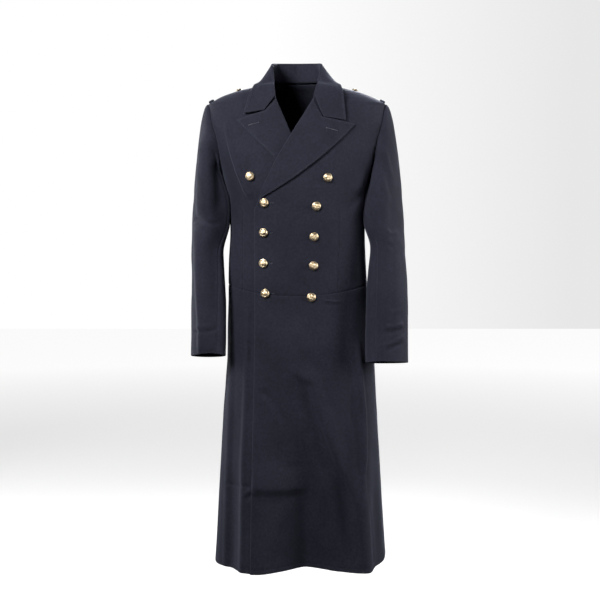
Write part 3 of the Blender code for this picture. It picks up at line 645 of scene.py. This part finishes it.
def front_grid(side_name, heights, columns, waist_share, gap, creases):
    """One front, from its free edge or roll line round to its side."""
    side = 1 if side_name == "left" else -1
    z = heights[:, None]
    share = columns[None, :]
    at_lapel = smooth((z - BREAK_Z) / 0.02) * (1 - smooth((z - GORGE_Z) / 0.02))
    start = angle_of_x(front_edge_x(side_name, z) - side * ROLL_RADIUS * UNDER_ROLL * at_lapel, z)
    seam = 0.0 if side > 0 else -np.pi
    cut = outer_angle(side, z, True) - seam
    angle = mix(start, seam, share) + cut * share ** 3
    plain = body_point(angle, z)
    height = z + waist_share(z) * WAIST_RISE * (plain[..., 0] / WAIST_RISE_AT) ** 2 + gap
    point = body_point(angle, height)
    normal = body_normal(angle, height)
    lift = top_front_lift(plain[..., 0], height) if side > 0 else 0.0
    x = point[..., 0]
    near_side = smooth(np.abs(point[..., 1]) / 0.03)
    rise = crease_height(creases, x, height) * near_side + soft_waves(x, height, 1.0 + side)
    edge_calm = smooth(share / 0.02) * 0.7 + 0.3
    return point + normal * (lift + rise * edge_calm)[..., None]


def build_fronts(wool):
    for side_name, side in SIDES:
        creases = CREASES_FRONT_LEFT if side > 0 else CREASES_FRONT_RIGHT
        neck_rows = rows_by_length(NECK_TOP_Z, ARMHOLE_MID_Z + ARMHOLE_HALF_HEIGHT, FRONT_STEP)
        chest_rows = ARMHOLE_MID_Z + ARMHOLE_HALF_HEIGHT * np.cos(np.linspace(0, np.pi, 56))
        low_rows = rows_by_length(chest_rows[-1], WAIST_Z, FRONT_STEP)
        bodice_rows = np.concatenate([neck_rows, chest_rows[1:-1], low_rows])
        skirt_length = WAIST_Z - HEM_Z
        skirt_rows = WAIST_Z - skirt_length * spread(skirt_length, FRONT_STEP,
                                                     ((0.012, 0.009), (skirt_length - HEM_STITCH, 0.0024)))
        width = 0.385 if side > 0 else 0.34
        dart = 0.213 if side > 0 else 0.208
        bodice_columns = spread(width, FRONT_STEP, ((dart, 0.007),))
        skirt_columns = spread(0.40, FRONT_STEP)

        def bodice_share(z):
            return smooth((-0.40 - z) / (-0.40 - WAIST_Z))

        def skirt_share(z):
            return 1 - smooth((WAIST_Z - z) / 0.25)

        bodice = front_grid(side_name, bodice_rows, bodice_columns, bodice_share, 0.0, creases)
        skirt = front_grid(side_name, skirt_rows, skirt_columns, skirt_share, -SEAM_GAP, creases)
        hem_groove = HEM_GROOVE * np.exp(-((skirt_rows - HEM_Z - HEM_STITCH) / 0.0011) ** 2)
        skirt = skirt - grid_normals(skirt, -side) * hem_groove[:, None, None]
        shell("front_" + side_name + "_bodice", bodice, -side, wool, free=("first_column",),
              seams=("last_column", "last_row"))
        shell("front_" + side_name + "_skirt", skirt, -side, wool, free=("first_column", "last_row"),
              seams=("last_column", "first_row"))


def build_backs(wool):
    for side_name, side in SIDES:
        top_rows = rows_by_length(NECK_TOP_Z, ARMHOLE_MID_Z + ARMHOLE_HALF_HEIGHT, BACK_STEP)
        chest_rows = ARMHOLE_MID_Z + ARMHOLE_HALF_HEIGHT * np.cos(np.linspace(0, np.pi, 44))
        low_rows = rows_by_length(chest_rows[-1], HEM_Z, BACK_STEP)
        heights = np.concatenate([top_rows, chest_rows[1:-1], low_rows])
        z = heights[:, None]
        share = spread(0.30, BACK_STEP)[None, :]
        start = np.pi / 2 - side * SEAM_GAP / 2 / section_at(z).half
        seam = 0.0 if side > 0 else np.pi
        angle = mix(start, seam, share) + (outer_angle(side, z, False) - seam) * share ** 3
        point = body_point(angle, z)
        x = point[..., 0]
        near_side = smooth(np.abs(point[..., 1]) / 0.03)
        rise = crease_height(CREASES_BACK, x, z + 0 * x) * near_side + soft_waves(x, z + 0 * x, 4.0)
        centre_calm = smooth(share / 0.04)
        grid = point + body_normal(angle, z) * (rise * centre_calm)[..., None]
        shell("back_" + side_name, grid, side, wool, free=("last_row",),
              seams=("first_column", "last_column"))


def lapel_outline(lapel, along, across):
    """A place on the lapel: along runs up from the break, across runs out from the roll line."""
    break_point = np.array([front_edge_x(lapel.side, BREAK_Z), BREAK_Z])
    z = mix(BREAK_Z, GORGE_Z, along)
    roll = np.stack([front_edge_x(lapel.side, z), z], -1)
    middle = np.array(lapel.lower_mid)
    peak = np.array(lapel.peak)
    notch = np.array(lapel.notch)
    control = 2 * middle - (break_point + peak) / 2
    keep = (1 - along)[..., None]
    more = along[..., None]
    lower = keep * keep * break_point + 2 * keep * more * control + more * more * peak
    top_start = np.array([front_edge_x(lapel.side, GORGE_Z), GORGE_Z])
    inner = mix_points(top_start, notch, across / NOTCH_SHARE)
    outer = mix_points(notch, peak, (across - NOTCH_SHARE) / (1 - NOTCH_SHARE))
    top = np.where((across < NOTCH_SHARE)[..., None], inner, outer)
    straight_top = mix_points(top_start, peak, across)
    return mix_points(roll, lower, across) + more * (top - straight_top)


def lapel_height(lapel, x, z, along, across):
    """How far a lapel's outer face stands off the front: its lower edge springs away a little."""
    lift = top_front_lift(x, z) if lapel.side == "left" else 0.0
    spring = 0.0022 * across ** 2 * np.sin(np.pi * np.clip(along, 0, 1)) ** 0.8
    swell = 0.0012 * np.sin(np.pi * np.clip(across, 0, 1)) * smooth(along / 0.3)
    return lift + LAPEL_CLEARANCE + CLOTH + spring + swell


def build_lapels(wool):
    made = {}
    for lapel in LAPELS:
        side = 1 if lapel.side == "left" else -1
        along = 0.03 + 0.965 * spread(0.27, 0.0030)
        across = np.sort(np.append(spread(0.11, 0.0026)[4:], NOTCH_SHARE))
        along, across = np.meshgrid(along, across, indexing="ij")
        x, z = np.moveaxis(lapel_outline(lapel, along, across), -1, 0)
        height = lapel_height(lapel, x, z, along, across) + 0.4 * soft_waves(x, z, 7.0 + side)
        face = front_point(x, z, height)
        # The roll turns back under the lapel's first column to meet the front
        first = face[:, 0]
        inward = unit(face[:, 3] - face[:, 0])
        normal = grid_normals(face, side)[:, 0]
        depth = ROLL_RADIUS * smooth(along[:, 0] / 0.10)
        roll = []
        for turn in np.radians((165, 140, 115, 90, 65, 42, 20)):
            reach = depth * (np.cos(turn - np.pi / 2) - 0.1)
            fall = depth * (1 - np.cos(turn)) * 0.95
            roll.append(first - inward * reach[:, None] - normal * fall[:, None])
        grid = np.concatenate([np.stack(roll, 1), face], axis=1)
        made[lapel.side] = shell("lapel_" + lapel.side, grid, side, wool, LAPEL_CLOTH,
                                 ("last_column", "last_row"))
    return made


def outside_by(points):
    """About how far points stand off the body surface, and the way out. The neck narrows above the seam."""

    def level(places):
        s = section_at(np.minimum(places[..., 2], 0.0))
        above = np.maximum(places[..., 2], 0.0)
        front = places[..., 1] < 0
        half = s.half - 2.4 * above
        depth = np.where(front, s.front - 1.3 * above, s.back - 1.2 * above)
        power = np.where(front, s.front_power, s.back_power)
        half = np.maximum(half, 0.01)
        depth = np.maximum(depth, 0.01)
        across = np.abs((places[..., 0] - s.centre) / half)
        return (across ** power + np.abs(places[..., 1] / depth) ** power) ** (1 / power)

    step = 0.0005
    here = level(points)
    steps = np.eye(3) * step
    slope = np.stack([level(points + way) - level(points - way) for way in steps], -1) / (2 * step)
    size = np.maximum(np.linalg.norm(slope, axis=-1), 1e-9)
    return (here - 1) / size, slope / size[..., None]


def drape_out(points, lift, way):
    """Move points one way until they lie this far off the body surface, which ends at the neck."""
    lift = lift * smooth((0.008 - points[..., 2]) / 0.014)
    for _ in range(6):
        distance, out = outside_by(points)
        short = np.where((points[..., 2] <= 0.008) & (distance < lift), lift - distance, 0.0)
        lean = np.maximum((out * way).sum(-1), 0.35)
        points = points + way * (short / lean)[..., None]
    return points


def collar_half(side, lapel, table, along):
    """Half of the collar, from its front end to the middle of the back."""
    names = (("fold_x", "fold_y", "fold_z"), ("edge_x", "edge_y", "edge_z"))
    fold, edge = [np.stack([read(table, "along", name, along) for name in group], -1) for group in names]
    before = along < COLLAR_SHOULDER
    turn = np.where(before, np.pi / 2 * along / COLLAR_SHOULDER,
                    np.pi / 2 * (1 + 0.6 * (along - COLLAR_SHOULDER) / (1 - COLLAR_SHOULDER)))
    way = np.stack([0 * turn, -np.cos(turn), np.sin(turn)], -1)
    lift = mix(COLLAR_LIFT, COLLAR_SHOULDER_LIFT, smooth(along / COLLAR_SHOULDER))
    if side > 0:
        lift = lift + top_front_lift(edge[:, 0], edge[:, 2])
    fold = drape_out(fold, lift, way)
    edge = drape_out(edge, lift, way)
    out = edge - fold
    out[:, 2] = 0
    out = unit(out)
    up = np.array([0, 0, 1.0])
    radius = COLLAR_FOLD_RADIUS
    inner_top = fold - out * radius - up * radius
    outer_top = fold + out * radius - up * radius
    z = mix(GORGE_Z, NECK_TOP_Z, np.clip(along / COLLAR_SHOULDER, 0, 1) ** 0.8)
    name = "left" if side > 0 else "right"
    seam = front_point(front_edge_x(name, z) - side * 0.0036, z)
    front_neck = mix_points(inner_top - up * STAND_END_HEIGHT, seam, smooth(along / 0.12))
    around = np.clip((along - COLLAR_SHOULDER) / (1 - COLLAR_SHOULDER), 0, 1) * np.pi / 2
    back_neck = np.stack([side * 0.0700 * np.cos(around), 0.0660 * np.sin(around), 0.0012 + 0 * around], -1)
    neck = np.where(before[:, None], front_neck, back_neck)
    columns = [mix_points(neck, inner_top, share + 0 * along) for share in (0.0, 0.12, 0.3, 0.5, 0.7, 0.86)]
    centre = fold - up * radius
    for bend in np.radians((180, 154, 128, 102, 78, 52, 26)):
        columns.append(centre + out * radius * np.cos(bend) + up * radius * np.sin(bend))
    columns.append(drape_out(outer_top, lift, way))
    end_share = 1 - smooth(along / 0.12)
    notch = np.stack([lapel.notch[0] + side * NOTCH_GAP + 0 * along, outer_top[:, 1],
                      lapel.notch[1] + NOTCH_GAP + 0 * along], -1)
    fall = spread(0.080, 0.0034)[5:]
    fall = np.sort(np.append(fall, NOTCH_SHARE))
    for share in fall:
        straight = mix_points(outer_top, edge, share + 0 * along)
        if share < NOTCH_SHARE:
            bent = mix_points(outer_top, notch, share / NOTCH_SHARE + 0 * along)
        else:
            bent = mix_points(notch, edge, (share - NOTCH_SHARE) / (1 - NOTCH_SHARE) + 0 * along)
        spring = 0.0016 * share ** 2 + 0.0012 * np.sin(np.pi * share)
        columns.append(drape_out(mix_points(straight, bent, end_share), lift + spring, way))
    return np.stack(columns, 1)


def build_collar(wool):
    ends = np.array([0.0, 0.0022, 0.006, 0.012, 0.020])
    along = np.concatenate([ends, np.linspace(0.030, 1, COLLAR_STATIONS // 2) ** 1.05])
    left = collar_half(1, LAPELS[0], COLLAR_LEFT, along)
    right = collar_half(-1, LAPELS[1], COLLAR_RIGHT, along)
    grid = np.concatenate([left[:-1], right[::-1]])
    grid = grid + 0.5 * grid_normals(grid, 1) * soft_waves(grid[..., 0], grid[..., 2], 11.0)[..., None]
    return shell("collar", grid, 1, wool, COLLAR_CLOTH, ("last_column", "first_row", "last_row"))


def sleeve_ring_point(side, table, z, turn):
    """A point of a sleeve section: turn 0 outside, 90 degrees at the front, 180 inside."""
    columns = [read(table, "z", name, z) for name in Sleeve._fields[1:]]
    centre_x, centre_y, reach, half_depth, swing, tilt = columns
    swing = np.radians(swing)
    tilt = np.radians(tilt)
    half_width = np.sqrt(reach ** 2 - (half_depth * np.sin(swing)) ** 2) / np.cos(swing)
    out = half_width * np.cos(turn)
    forward = half_depth * np.sin(turn)
    x = out * np.cos(swing) - forward * np.sin(swing)
    y = -out * np.sin(swing) - forward * np.cos(swing)
    return np.stack([side * (centre_x + x), centre_y + y * np.cos(tilt), z - y * np.sin(tilt)], -1)


def armhole_point(side, turn, reach, depth=0.0):
    """A point at the armhole, this far beyond its rim and below the cloth round it."""
    width = np.where(np.sin(turn) > 0, ARMHOLE_FRONT, ARMHOLE_BACK) + reach
    z = ARMHOLE_MID_Z + (ARMHOLE_HALF_HEIGHT + reach) * np.cos(turn)
    angle = angle_of_y(-width * np.sin(turn), z, side)
    return body_point(angle, z) - body_normal(angle, z) * depth


def sleeve_cap_point(side, table, share, turn):
    """The sleeve head, from the armhole's rim to the sleeve's first full section."""
    start = armhole_point(side, turn, ARMHOLE_OVERLAP)
    end = sleeve_ring_point(side, table, table[0].z + 0 * turn, turn)
    top = (1 + np.cos(turn)) / 2
    leave = np.stack([side * mix(0.012, 0.062, top), -0.022 * np.sin(turn), mix(-0.020, 0.012, top)], -1)
    arrive = np.stack([0 * top, 0 * top, -mix(0.030, 0.200, top)], -1)
    cubic = (share ** 3)[..., None]
    square = (share ** 2)[..., None]
    share = share[..., None]
    return (start * (2 * cubic - 3 * square + 1) + leave * (cubic - 2 * square + share)
            + end * (3 * square - 2 * cubic) + arrive * (cubic - square))


def build_sleeves(wool):
    gap = SEAM_GAP / 2 / 0.06
    for side_name, side in SIDES:
        table = SLEEVE_LEFT if side > 0 else SLEEVE_RIGHT
        creases = CREASES_SLEEVE_LEFT if side > 0 else CREASES_SLEEVE_RIGHT
        pieces = (
            ("top_sleeve_", -SLEEVE_SEAM_BACK + gap, SLEEVE_SEAM_FRONT - gap, SLEEVE_STEP, 0.262),
            ("under_sleeve_", SLEEVE_SEAM_FRONT + gap, 2 * np.pi - SLEEVE_SEAM_BACK - gap,
             UNDER_SLEEVE_STEP, 0.14),
        )
        for prefix, start, end, step, width in pieces:
            turn = mix(start, end, spread(width, step))[None, :]
            cap_share = spread(0.17, step)[:, None]
            cap = sleeve_cap_point(side, table, cap_share ** 1.15 + 0 * turn, turn + 0 * cap_share)
            length = table[0].z - table[-1].z
            z = (table[0].z - length * spread(length, step)[5:])[:, None]
            tube = sleeve_ring_point(side, table, z + 0 * turn, turn + 0 * z)
            tucks = [armhole_point(side, turn, reach, depth) for reach, depth in ARMHOLE_TUCKS]
            grid = np.concatenate(tucks + [cap[:-5], tube])
            normals = grid_normals(grid, side)
            x = grid[..., 0]
            height = grid[..., 2]
            to_front = smooth((-normals[..., 1] + 0.05) / 0.30)
            to_back = smooth((normals[..., 1] - 0.15) / 0.40)
            middle = read(table, "z", "centre_x", height)
            rise = crease_height(creases, x, height) * to_front
            rise = rise + crease_height(CREASES_SLEEVE_BACK, side * x - middle, height) * to_back
            rise = rise + 1.3 * soft_waves(x + grid[..., 1], height, 13.0 + side)
            from_rim = edge_distances(grid)["first_row"]
            calm = smooth((from_rim - 0.002) / 0.015)
            grid = grid + normals * (rise * calm)[..., None]
            facing_in = np.exp(-((turn - SLEEVE_PRESS_TURN) / SLEEVE_PRESS_SPREAD) ** 2)
            at_height = np.exp(-((height - SLEEVE_PRESS_Z) / SLEEVE_PRESS_HEIGHT) ** 2)
            grid[..., 0] -= side * SLEEVE_PRESS * facing_in * at_height * calm
            plane = np.exp(-((turn - PLANE_TURN) / PLANE_SPREAD) ** 2)
            plane = plane - RIDGE_SHARE * np.exp(-((turn - RIDGE_TURN) / RIDGE_SPREAD) ** 2)
            fall_back = smooth((-0.12 - height) / 0.12) * smooth((from_rim - 0.002) / 0.045)
            grid[..., 1] += PLANE_DEPTH[side_name] * plane * fall_back
            shell(prefix + side_name, grid, side, wool, free=("last_row",),
                  seams=("first_row", "first_column", "last_column"))


def shoulder_height(x, y):
    """Height of the shoulder over a place in plan."""
    high = 0.0
    low = -0.14
    for _ in range(40):
        z = (high + low) / 2
        s = section_at(z)
        power = s.front_power if y < 0 else s.back_power
        depth = s.front if y < 0 else s.back
        if abs((x - s.centre) / s.half) ** power + abs(y / depth) ** power < 1:
            low = z
        else:
            high = z
    return (high + low) / 2


def build_loops(wool):
    """A strip of cloth arched over each shoulder seam."""
    for side_name, side in SIDES:
        grid = []
        for share in np.linspace(-1, 1, 37):
            y = share * LOOP_HALF_LENGTH
            arch = LOOP_ARCH * (1 - share * share)
            line = []
            for column in spread(LOOP_WIDTH, 0.0016) - 0.5:
                x = side * (LOOP_X + column * LOOP_WIDTH)
                z = shoulder_height(x, y)
                angle = angle_of_x(x, z, y < 0) if abs(y) > 0.004 else (0.0 if side > 0 else np.pi)
                normal = body_normal(angle, z)
                crown = 0.0005 * (1 - (2 * column) ** 2)
                line.append(np.array([x, y, z]) + normal * (LOOP_CLEARANCE + LOOP_CLOTH + arch + crown))
            grid.append(line)
        shell("shoulder_loop_" + side_name, np.array(grid), side, wool, LOOP_CLOTH,
              ("first_column", "last_column", "first_row", "last_row"))


def button_profile(radius, height):
    """Radius and height from the crown, over the rim, to the foot of the shank."""
    profile = []
    for share in np.linspace(0, 0.80, DOME_RINGS):
        bend = share * np.pi / 2
        profile.append((radius * 0.93 * np.sin(bend), height * (0.50 + 0.50 * np.cos(bend))))
    profile += [(radius * out, height * up) for out, up in BUTTON_RIM]
    shank = BUTTON_SHANK * radius / BUTTON_RADIUS
    return profile + [(shank, height * 0.26), (shank * 0.8, height * 0.12), (shank, 0.0004)]


def build_button(node_name, spot, normal, scale, spin, brass):
    """A domed button with a beaded ring and a plain eight-rayed centre, on its shank."""
    radius = BUTTON_RADIUS * scale
    height = BUTTON_HEIGHT * scale
    profile = button_profile(radius, height)
    turns = np.arange(BUTTON_STEPS) * 2 * np.pi / BUTTON_STEPS
    out, up = np.array(profile).T[:, :, None]
    share = out / radius
    ray = np.cos(4 * (turns + spin)) ** 2
    relief = 0.085 * (ray - 0.5) * smooth(share / 0.25) * (1 - smooth((share - 0.45) / 0.15))
    relief += 0.080 * np.exp(-((share - 0.72) / 0.055) ** 2) * (0.6 + 0.4 * np.cos(24 * turns))
    relief -= 0.060 * np.exp(-((share - 0.60) / 0.035) ** 2)
    relief[DOME_RINGS:] = 0
    points = np.stack([out * np.cos(turns), out * np.sin(turns), up + height * relief], -1).reshape(-1, 3)
    ring = np.arange(len(points)).reshape(-1, BUTTON_STEPS)
    after = np.roll(ring, -1, axis=1)
    quads = np.stack([ring[:-1], ring[1:], after[1:], after[:-1]], -1).reshape(-1, 4)
    item = new_object("metal_" + node_name, points, quads.tolist() + [ring[-1, ::-1].tolist()], brass)
    turn_to = Vector(normal).to_track_quat("Z", "X").to_matrix().to_4x4()
    item.data.transform(Matrix.Translation(Vector(spot)) @ turn_to)
    place(item, node_name, "button")


def build_buttons(brass):
    for row in BUTTON_ROWS:
        for side_name, x, z, spin in (("left", row.left_x, row.left_z, 0.35 * row.row),
                                      ("right", row.right_x, row.right_z, 0.2 + 0.5 * row.row)):
            # The first button on the right is sewn to the front underneath
            on_top = side_name == "left" or row.row > 1
            normal = body_normal(angle_of_x(x, z), z)
            spot = front_point(x, z, top_front_lift(x, z) if on_top else 0.0)
            build_button("button_%s_%d" % (side_name, row.row), spot, normal, 1.0, spin, brass)
    for side_name, side in SIDES:
        x = side * SHOULDER_BUTTON_X
        z = shoulder_height(x, 0.0)
        normal = body_normal(0.0 if side > 0 else np.pi, z)
        spot = np.array([x, 0, z]) + normal * 0.0004
        build_button("button_shoulder_" + side_name, spot, normal, SHOULDER_BUTTON_SCALE, 0.3, brass)


def inset_path(grid, normals, edge, inset):
    """Points and normals of a line that keeps one distance from an edge of a grid."""
    if edge in ("first_row", "last_row"):
        grid = grid.transpose(1, 0, 2)
        normals = normals.transpose(1, 0, 2)
    if edge in ("last_row", "last_column"):
        grid = grid[:, ::-1]
        normals = normals[:, ::-1]
    points = []
    ways = []
    for line, normal in zip(grid, normals):
        run = runs(line)
        if run[-1] < 2.4 * inset:
            continue
        points.append([np.interp(inset, run, line[:, axis]) for axis in range(3)])
        ways.append([np.interp(inset, run, normal[:, axis]) for axis in range(3)])
    return np.array(points), unit(np.array(ways))


def stitches(name, paths, thread, spacing=0.0036, length=0.0026, radius=0.00030):
    """A run of small raised stitches along each path of points and normals."""
    points = []
    faces = []
    sides = 5
    for path, ways in paths:
        run = runs(path)
        count = int(run[-1] / spacing)
        for index in range(count):
            middle = (index + 0.5) * spacing
            ends = [np.array([np.interp(place, run, path[:, axis]) for axis in range(3)])
                    for place in (middle - length / 2, middle, middle + length / 2)]
            up = unit(np.array([np.interp(middle, run, ways[:, axis]) for axis in range(3)]))
            along = unit(ends[2] - ends[0])
            side = np.cross(up, along)
            base = len(points)
            points.append(ends[0] - up * radius * 0.8)
            points.append(ends[2] - up * radius * 0.8)
            for step in range(sides):
                turn = 2 * np.pi * step / sides
                points.append(ends[1] + up * radius * (0.35 + np.cos(turn)) + side * radius * np.sin(turn))
            for step in range(sides):
                a = base + 2 + step
                b = base + 2 + (step + 1) % sides
                faces.append((base, b, a))
                faces.append((base + 1, a, b))
    return new_object(name, points, faces, thread)


def buttonhole(spot, end, normal):
    """Cross stitches worked round a buttonhole, as short paths."""
    way = unit(end - spot)
    side = np.cross(normal, way)
    length = float(np.linalg.norm(end - spot))
    paths = []
    for hand in (-1, 1):
        count = max(2, int(length / 0.0011))
        for index in range(count):
            middle = spot + way * length * (index + 0.5) / count
            inner = middle + side * hand * 0.0002 + normal * 0.00015
            outer = middle + side * hand * 0.0019 + way * 0.0003 + normal * 0.00005
            paths.append((np.array([inner, (inner + outer) / 2, outer]), np.array([normal] * 3)))
    bar = end + side * 0.0018 + normal * 0.0002, end + normal * 0.0003, end - side * 0.0018 + normal * 0.0002
    paths.append((np.array(bar), np.array([normal] * 3)))
    return paths


def lapel_hole(lapel, grid, normals):
    """The two worked lips of a lapel's buttonhole, laid on the lapel's face."""
    paths = []
    for hand in (-1, 1):
        line = []
        ways = []
        for share in np.linspace(0, 1, 13):
            x = mix(lapel.hole_start[0], lapel.hole_end[0], share)
            z = mix(lapel.hole_start[1], lapel.hole_end[1], share) + hand * HOLE_LIP
            gap = np.hypot(grid[..., 0] - x, grid[..., 2] - z)
            weight = 1 / (gap + 1e-5) ** 3
            weight[gap > 0.008] = 0
            weight /= weight.sum()
            way = unit((normals * weight[..., None]).sum((0, 1)))
            spot = (grid * weight[..., None]).sum((0, 1))
            line.append([x, spot[1] + way[1] * HOLE_CORD * 0.6, z])
            ways.append(way)
        paths.append((np.array(line), np.array(ways)))
    return paths


def feed(tree, target, inputs):
    """Set or link the inputs of a shader node."""
    for key, value in inputs.items():
        if isinstance(value, bpy.types.NodeSocket):
            tree.links.new(value, target.inputs[key])
        else:
            target.inputs[key].default_value = value


def node(tree, kind, inputs, output=0, **settings):
    """Add a shader node and give one of its outputs."""
    made = tree.nodes.new("ShaderNode" + kind)
    for key, value in settings.items():
        setattr(made, key, value)
    feed(tree, made, inputs)
    return made.outputs[output]


def noise(tree, vector, scale, detail=2, roughness=0.5):
    return node(tree, "TexNoise", {"Vector": vector, "Scale": scale, "Detail": detail,
                                   "Roughness": roughness})


def fit_range(tree, value, to_min, to_max, from_min=0, from_max=1):
    return node(tree, "MapRange", {"Value": value, "From Min": from_min, "From Max": from_max,
                                   "To Min": to_min, "To Max": to_max})


def bump(tree, height, strength, distance):
    return node(tree, "Bump", {"Height": height, "Strength": strength, "Distance": distance})


def ramp(tree, source, *stops):
    """Colours at places from 0 to 1 of a source."""
    made = tree.nodes.new("ShaderNodeValToRGB")
    elements = made.color_ramp.elements
    while len(elements) < len(stops):
        elements.new(0.5)
    for element, (position, colour) in zip(elements, stops):
        element.position = position
        element.color = colour
    feed(tree, made, {0: source})
    return made.outputs[0]


def new_material(name):
    """A material, its tree, its shader and the places of the piece's points."""
    made = bpy.data.materials.new(name)
    made.use_nodes = True
    tree = made.node_tree
    return made, tree, tree.nodes["Principled BSDF"], node(tree, "TexCoord", {}, "Object")


def wool_material():
    """Dark navy twill: fine diagonal ribs, short fuzz, soft patches, and a painted highlight that lightens
    the free edges.
    """
    made, tree, shader, place_at = new_material("navy_wool_twill")
    turned = node(tree, "Mapping", {"Vector": place_at, "Rotation": TWILL_TURN})
    twill = node(tree, "TexWave", {"Vector": turned, "Scale": 210, "Distortion": 1.2, "Detail": 2,
                                   "Detail Scale": 3}, "Fac")
    fuzz = noise(tree, place_at, 900, 3)
    base = ramp(tree, noise(tree, place_at, 7, 5, 0.6), (0.30, WOOL_DARK), (0.70, WOOL_LIGHT))
    flecks = ramp(tree, noise(tree, place_at, 160, 4, 0.7), (0.30, FLECK_DARK), (0.70, FLECK_LIGHT))
    toned = node(tree, "Mix", {0: 0.95, 6: base, 7: flecks}, 2, data_type="RGBA", blend_type="MULTIPLY")
    # Painted highlight: the edge mask mixes a lighter colour into the free edges
    worn = node(tree, "Attribute", {}, "Fac", attribute_name="worn")
    coloured = node(tree, "Mix", {0: fit_range(tree, worn, 0, EDGE_HIGHLIGHT_SHARE, 0.15), 6: toned, 7: WOOL_EDGE_HIGHLIGHT}, 2,
                    data_type="RGBA")
    relief = node(tree, "Mix", {0: 0.45, 2: twill, 3: fuzz})
    feed(tree, shader, {"Base Color": coloured, "Normal": bump(tree, relief, 0.35, 0.0006),
                        "Roughness": fit_range(tree, fuzz, 0.78, 0.92), "Specular IOR Level": 0.22,
                        "Sheen Weight": 0.20, "Sheen Roughness": 0.42, "Sheen Tint": SHEEN_TINT})
    return made


def thread_material(name, colour):
    made, tree, shader, place_at = new_material(name)
    twist = noise(tree, place_at, 1400)
    shade = tuple(part * 0.7 for part in colour[:3]) + (1.0,)
    feed(tree, shader, {"Base Color": ramp(tree, twist, (0.3, shade), (0.7, colour)),
                        "Normal": bump(tree, twist, 0.3, 0.0002), "Roughness": 0.6, "Sheen Weight": 0.2})
    return made


def brass_material():
    """Gilt brass: bright, with darker patches of grime from a noise, and fine scratches."""
    made, tree, shader, place_at = new_material("gilt_brass")
    grime = noise(tree, place_at, 260, 4)
    tone = ramp(tree, grime, (0.34, BRASS_DARK), (0.50, BRASS_BRIGHT), (1.0, BRASS_BRIGHT))
    feed(tree, shader, {"Base Color": tone, "Roughness": fit_range(tree, grime, 0.30, 0.46), "Metallic": 1,
                        "Normal": bump(tree, noise(tree, place_at, 1500), 0.25, 0.0002)})
    return made


def add_stitches(name, paths, thread, **sizes):
    item = stitches(name, paths, thread, **sizes)
    place(item, None, "wool")
    return item


def dress(wool, thread, hole_thread, brass):
    """Build every piece and its stitching, hang each on the root, and hide the frame's part that it stands
    for.
    """
    collar_grid, collar_normals = build_collar(wool)
    lapels = build_lapels(wool)
    build_fronts(wool)
    build_backs(wool)
    build_sleeves(wool)
    build_loops(wool)
    build_buttons(brass)

    path = inset_path(collar_grid, collar_normals, "last_column", STITCH_INSET)
    add_stitches("stitches_collar", [path], thread)
    paths = []
    for row in BUTTON_ROWS[1:]:
        x = row.right_x + np.array([0.0060, BUTTON_HOLE])
        ends = front_point(x, row.right_z, top_front_lift(x, row.right_z))
        normal = body_normal(angle_of_x(row.right_x, row.right_z), row.right_z)
        paths += buttonhole(*(ends + normal * 0.0003), normal)
    holes = add_stitches("buttonholes_front", paths, hole_thread, spacing=0.0017, length=0.0017)
    for lapel in LAPELS:
        face = lapels[lapel.side]
        edges = [inset_path(*face, edge, STITCH_INSET) for edge in ("last_column", "last_row")]
        extras = [add_stitches("stitches_lapel_" + lapel.side, edges, thread),
                  add_stitches("buttonhole_lapel_" + lapel.side, lapel_hole(lapel, *face), hole_thread,
                               spacing=0.0014, length=0.0016, radius=HOLE_CORD)]


def area_light(light):
    data = bpy.data.lights.new(light.name, "AREA")
    data.shape = "DISK"
    data.size = light.size
    data.spread = np.radians(light.opening)
    data.energy = light.power
    item = link_object(light.name, data)
    item.location = light.spot
    item.rotation_euler = (Vector(light.target) - Vector(light.spot)).to_track_quat("-Z", "Y").to_euler()


def build_floor():
    """A plain pale floor that grows lighter away from the coat."""
    mesh = bpy.data.meshes.new("floor")
    corners = [(x * FLOOR_REACH, y * FLOOR_REACH, FLOOR_Z) for x, y in ((-1, -1), (1, -1), (1, 1), (-1, 1))]
    mesh.from_pydata(corners, [], [(0, 1, 2, 3)])
    pale, tree, shader, place_at = new_material("pale_floor")
    grain = node(tree, "TexNoise", {"Scale": 3})
    away = node(tree, "VectorMath", {0: place_at}, "Value", operation="LENGTH")
    tone = ramp(tree, grain, (0.3, FLOOR_DARK), (0.7, FLOOR_LIGHT))
    glow = fit_range(tree, away, 0.45, 0.93, 1.5, 6.5)
    feed(tree, shader, {"Base Color": tone, "Roughness": 0.9, "Emission Color": WHITE,
                        "Emission Strength": glow})
    mesh.materials.append(pale)
    floor = link_object("floor", mesh)
    floor.visible_diffuse = False
    floor.visible_glossy = False


def build_world():
    """A pale surround that greys to one side where it is seen, and gives a little light from above."""
    world = bpy.data.worlds.new("studio")
    world.use_nodes = True
    bpy.context.scene.world = world
    tree = world.node_tree
    split = tree.nodes.new("ShaderNodeSeparateXYZ")
    feed(tree, split, {0: node(tree, "TexCoord", {}, "Generated")})
    shining = fit_range(tree, split.outputs["Z"], AMBIENT_LOW, AMBIENT_HIGH, -0.6, 0.6)
    shown = fit_range(tree, split.outputs["X"], 1.0, 0.80, -0.02, 0.20)
    camera_ray = node(tree, "LightPath", {}, "Is Camera Ray")
    strength = node(tree, "Mix", {0: camera_ray, 2: shining, 3: shown})
    feed(tree, tree.nodes["Background"], {"Strength": strength, "Color": WHITE})
    bpy.context.scene.view_settings.view_transform = "Standard"


def build_camera():
    data = bpy.data.cameras.new("camera")
    data.lens = CAMERA_LENS
    data.sensor_width = 36
    data.clip_end = 60
    camera = link_object("camera", data)
    camera.location = CAMERA_PLACE
    camera.rotation_euler = (np.pi / 2 - CAMERA_DOWN, 0, 0)
    bpy.context.scene.camera = camera


dress(wool_material(), thread_material("sewing_thread", THREAD),
      thread_material("buttonhole_thread", HOLE_THREAD), brass_material())
build_floor()
build_world()
for lamp in LIGHTS:
    area_light(lamp)
build_camera()
bpy.context.view_layer.update()


def plain(bounds):
    """A box as plain lists of numbers."""
    return [[float(number) for number in corner] for corner in bounds]
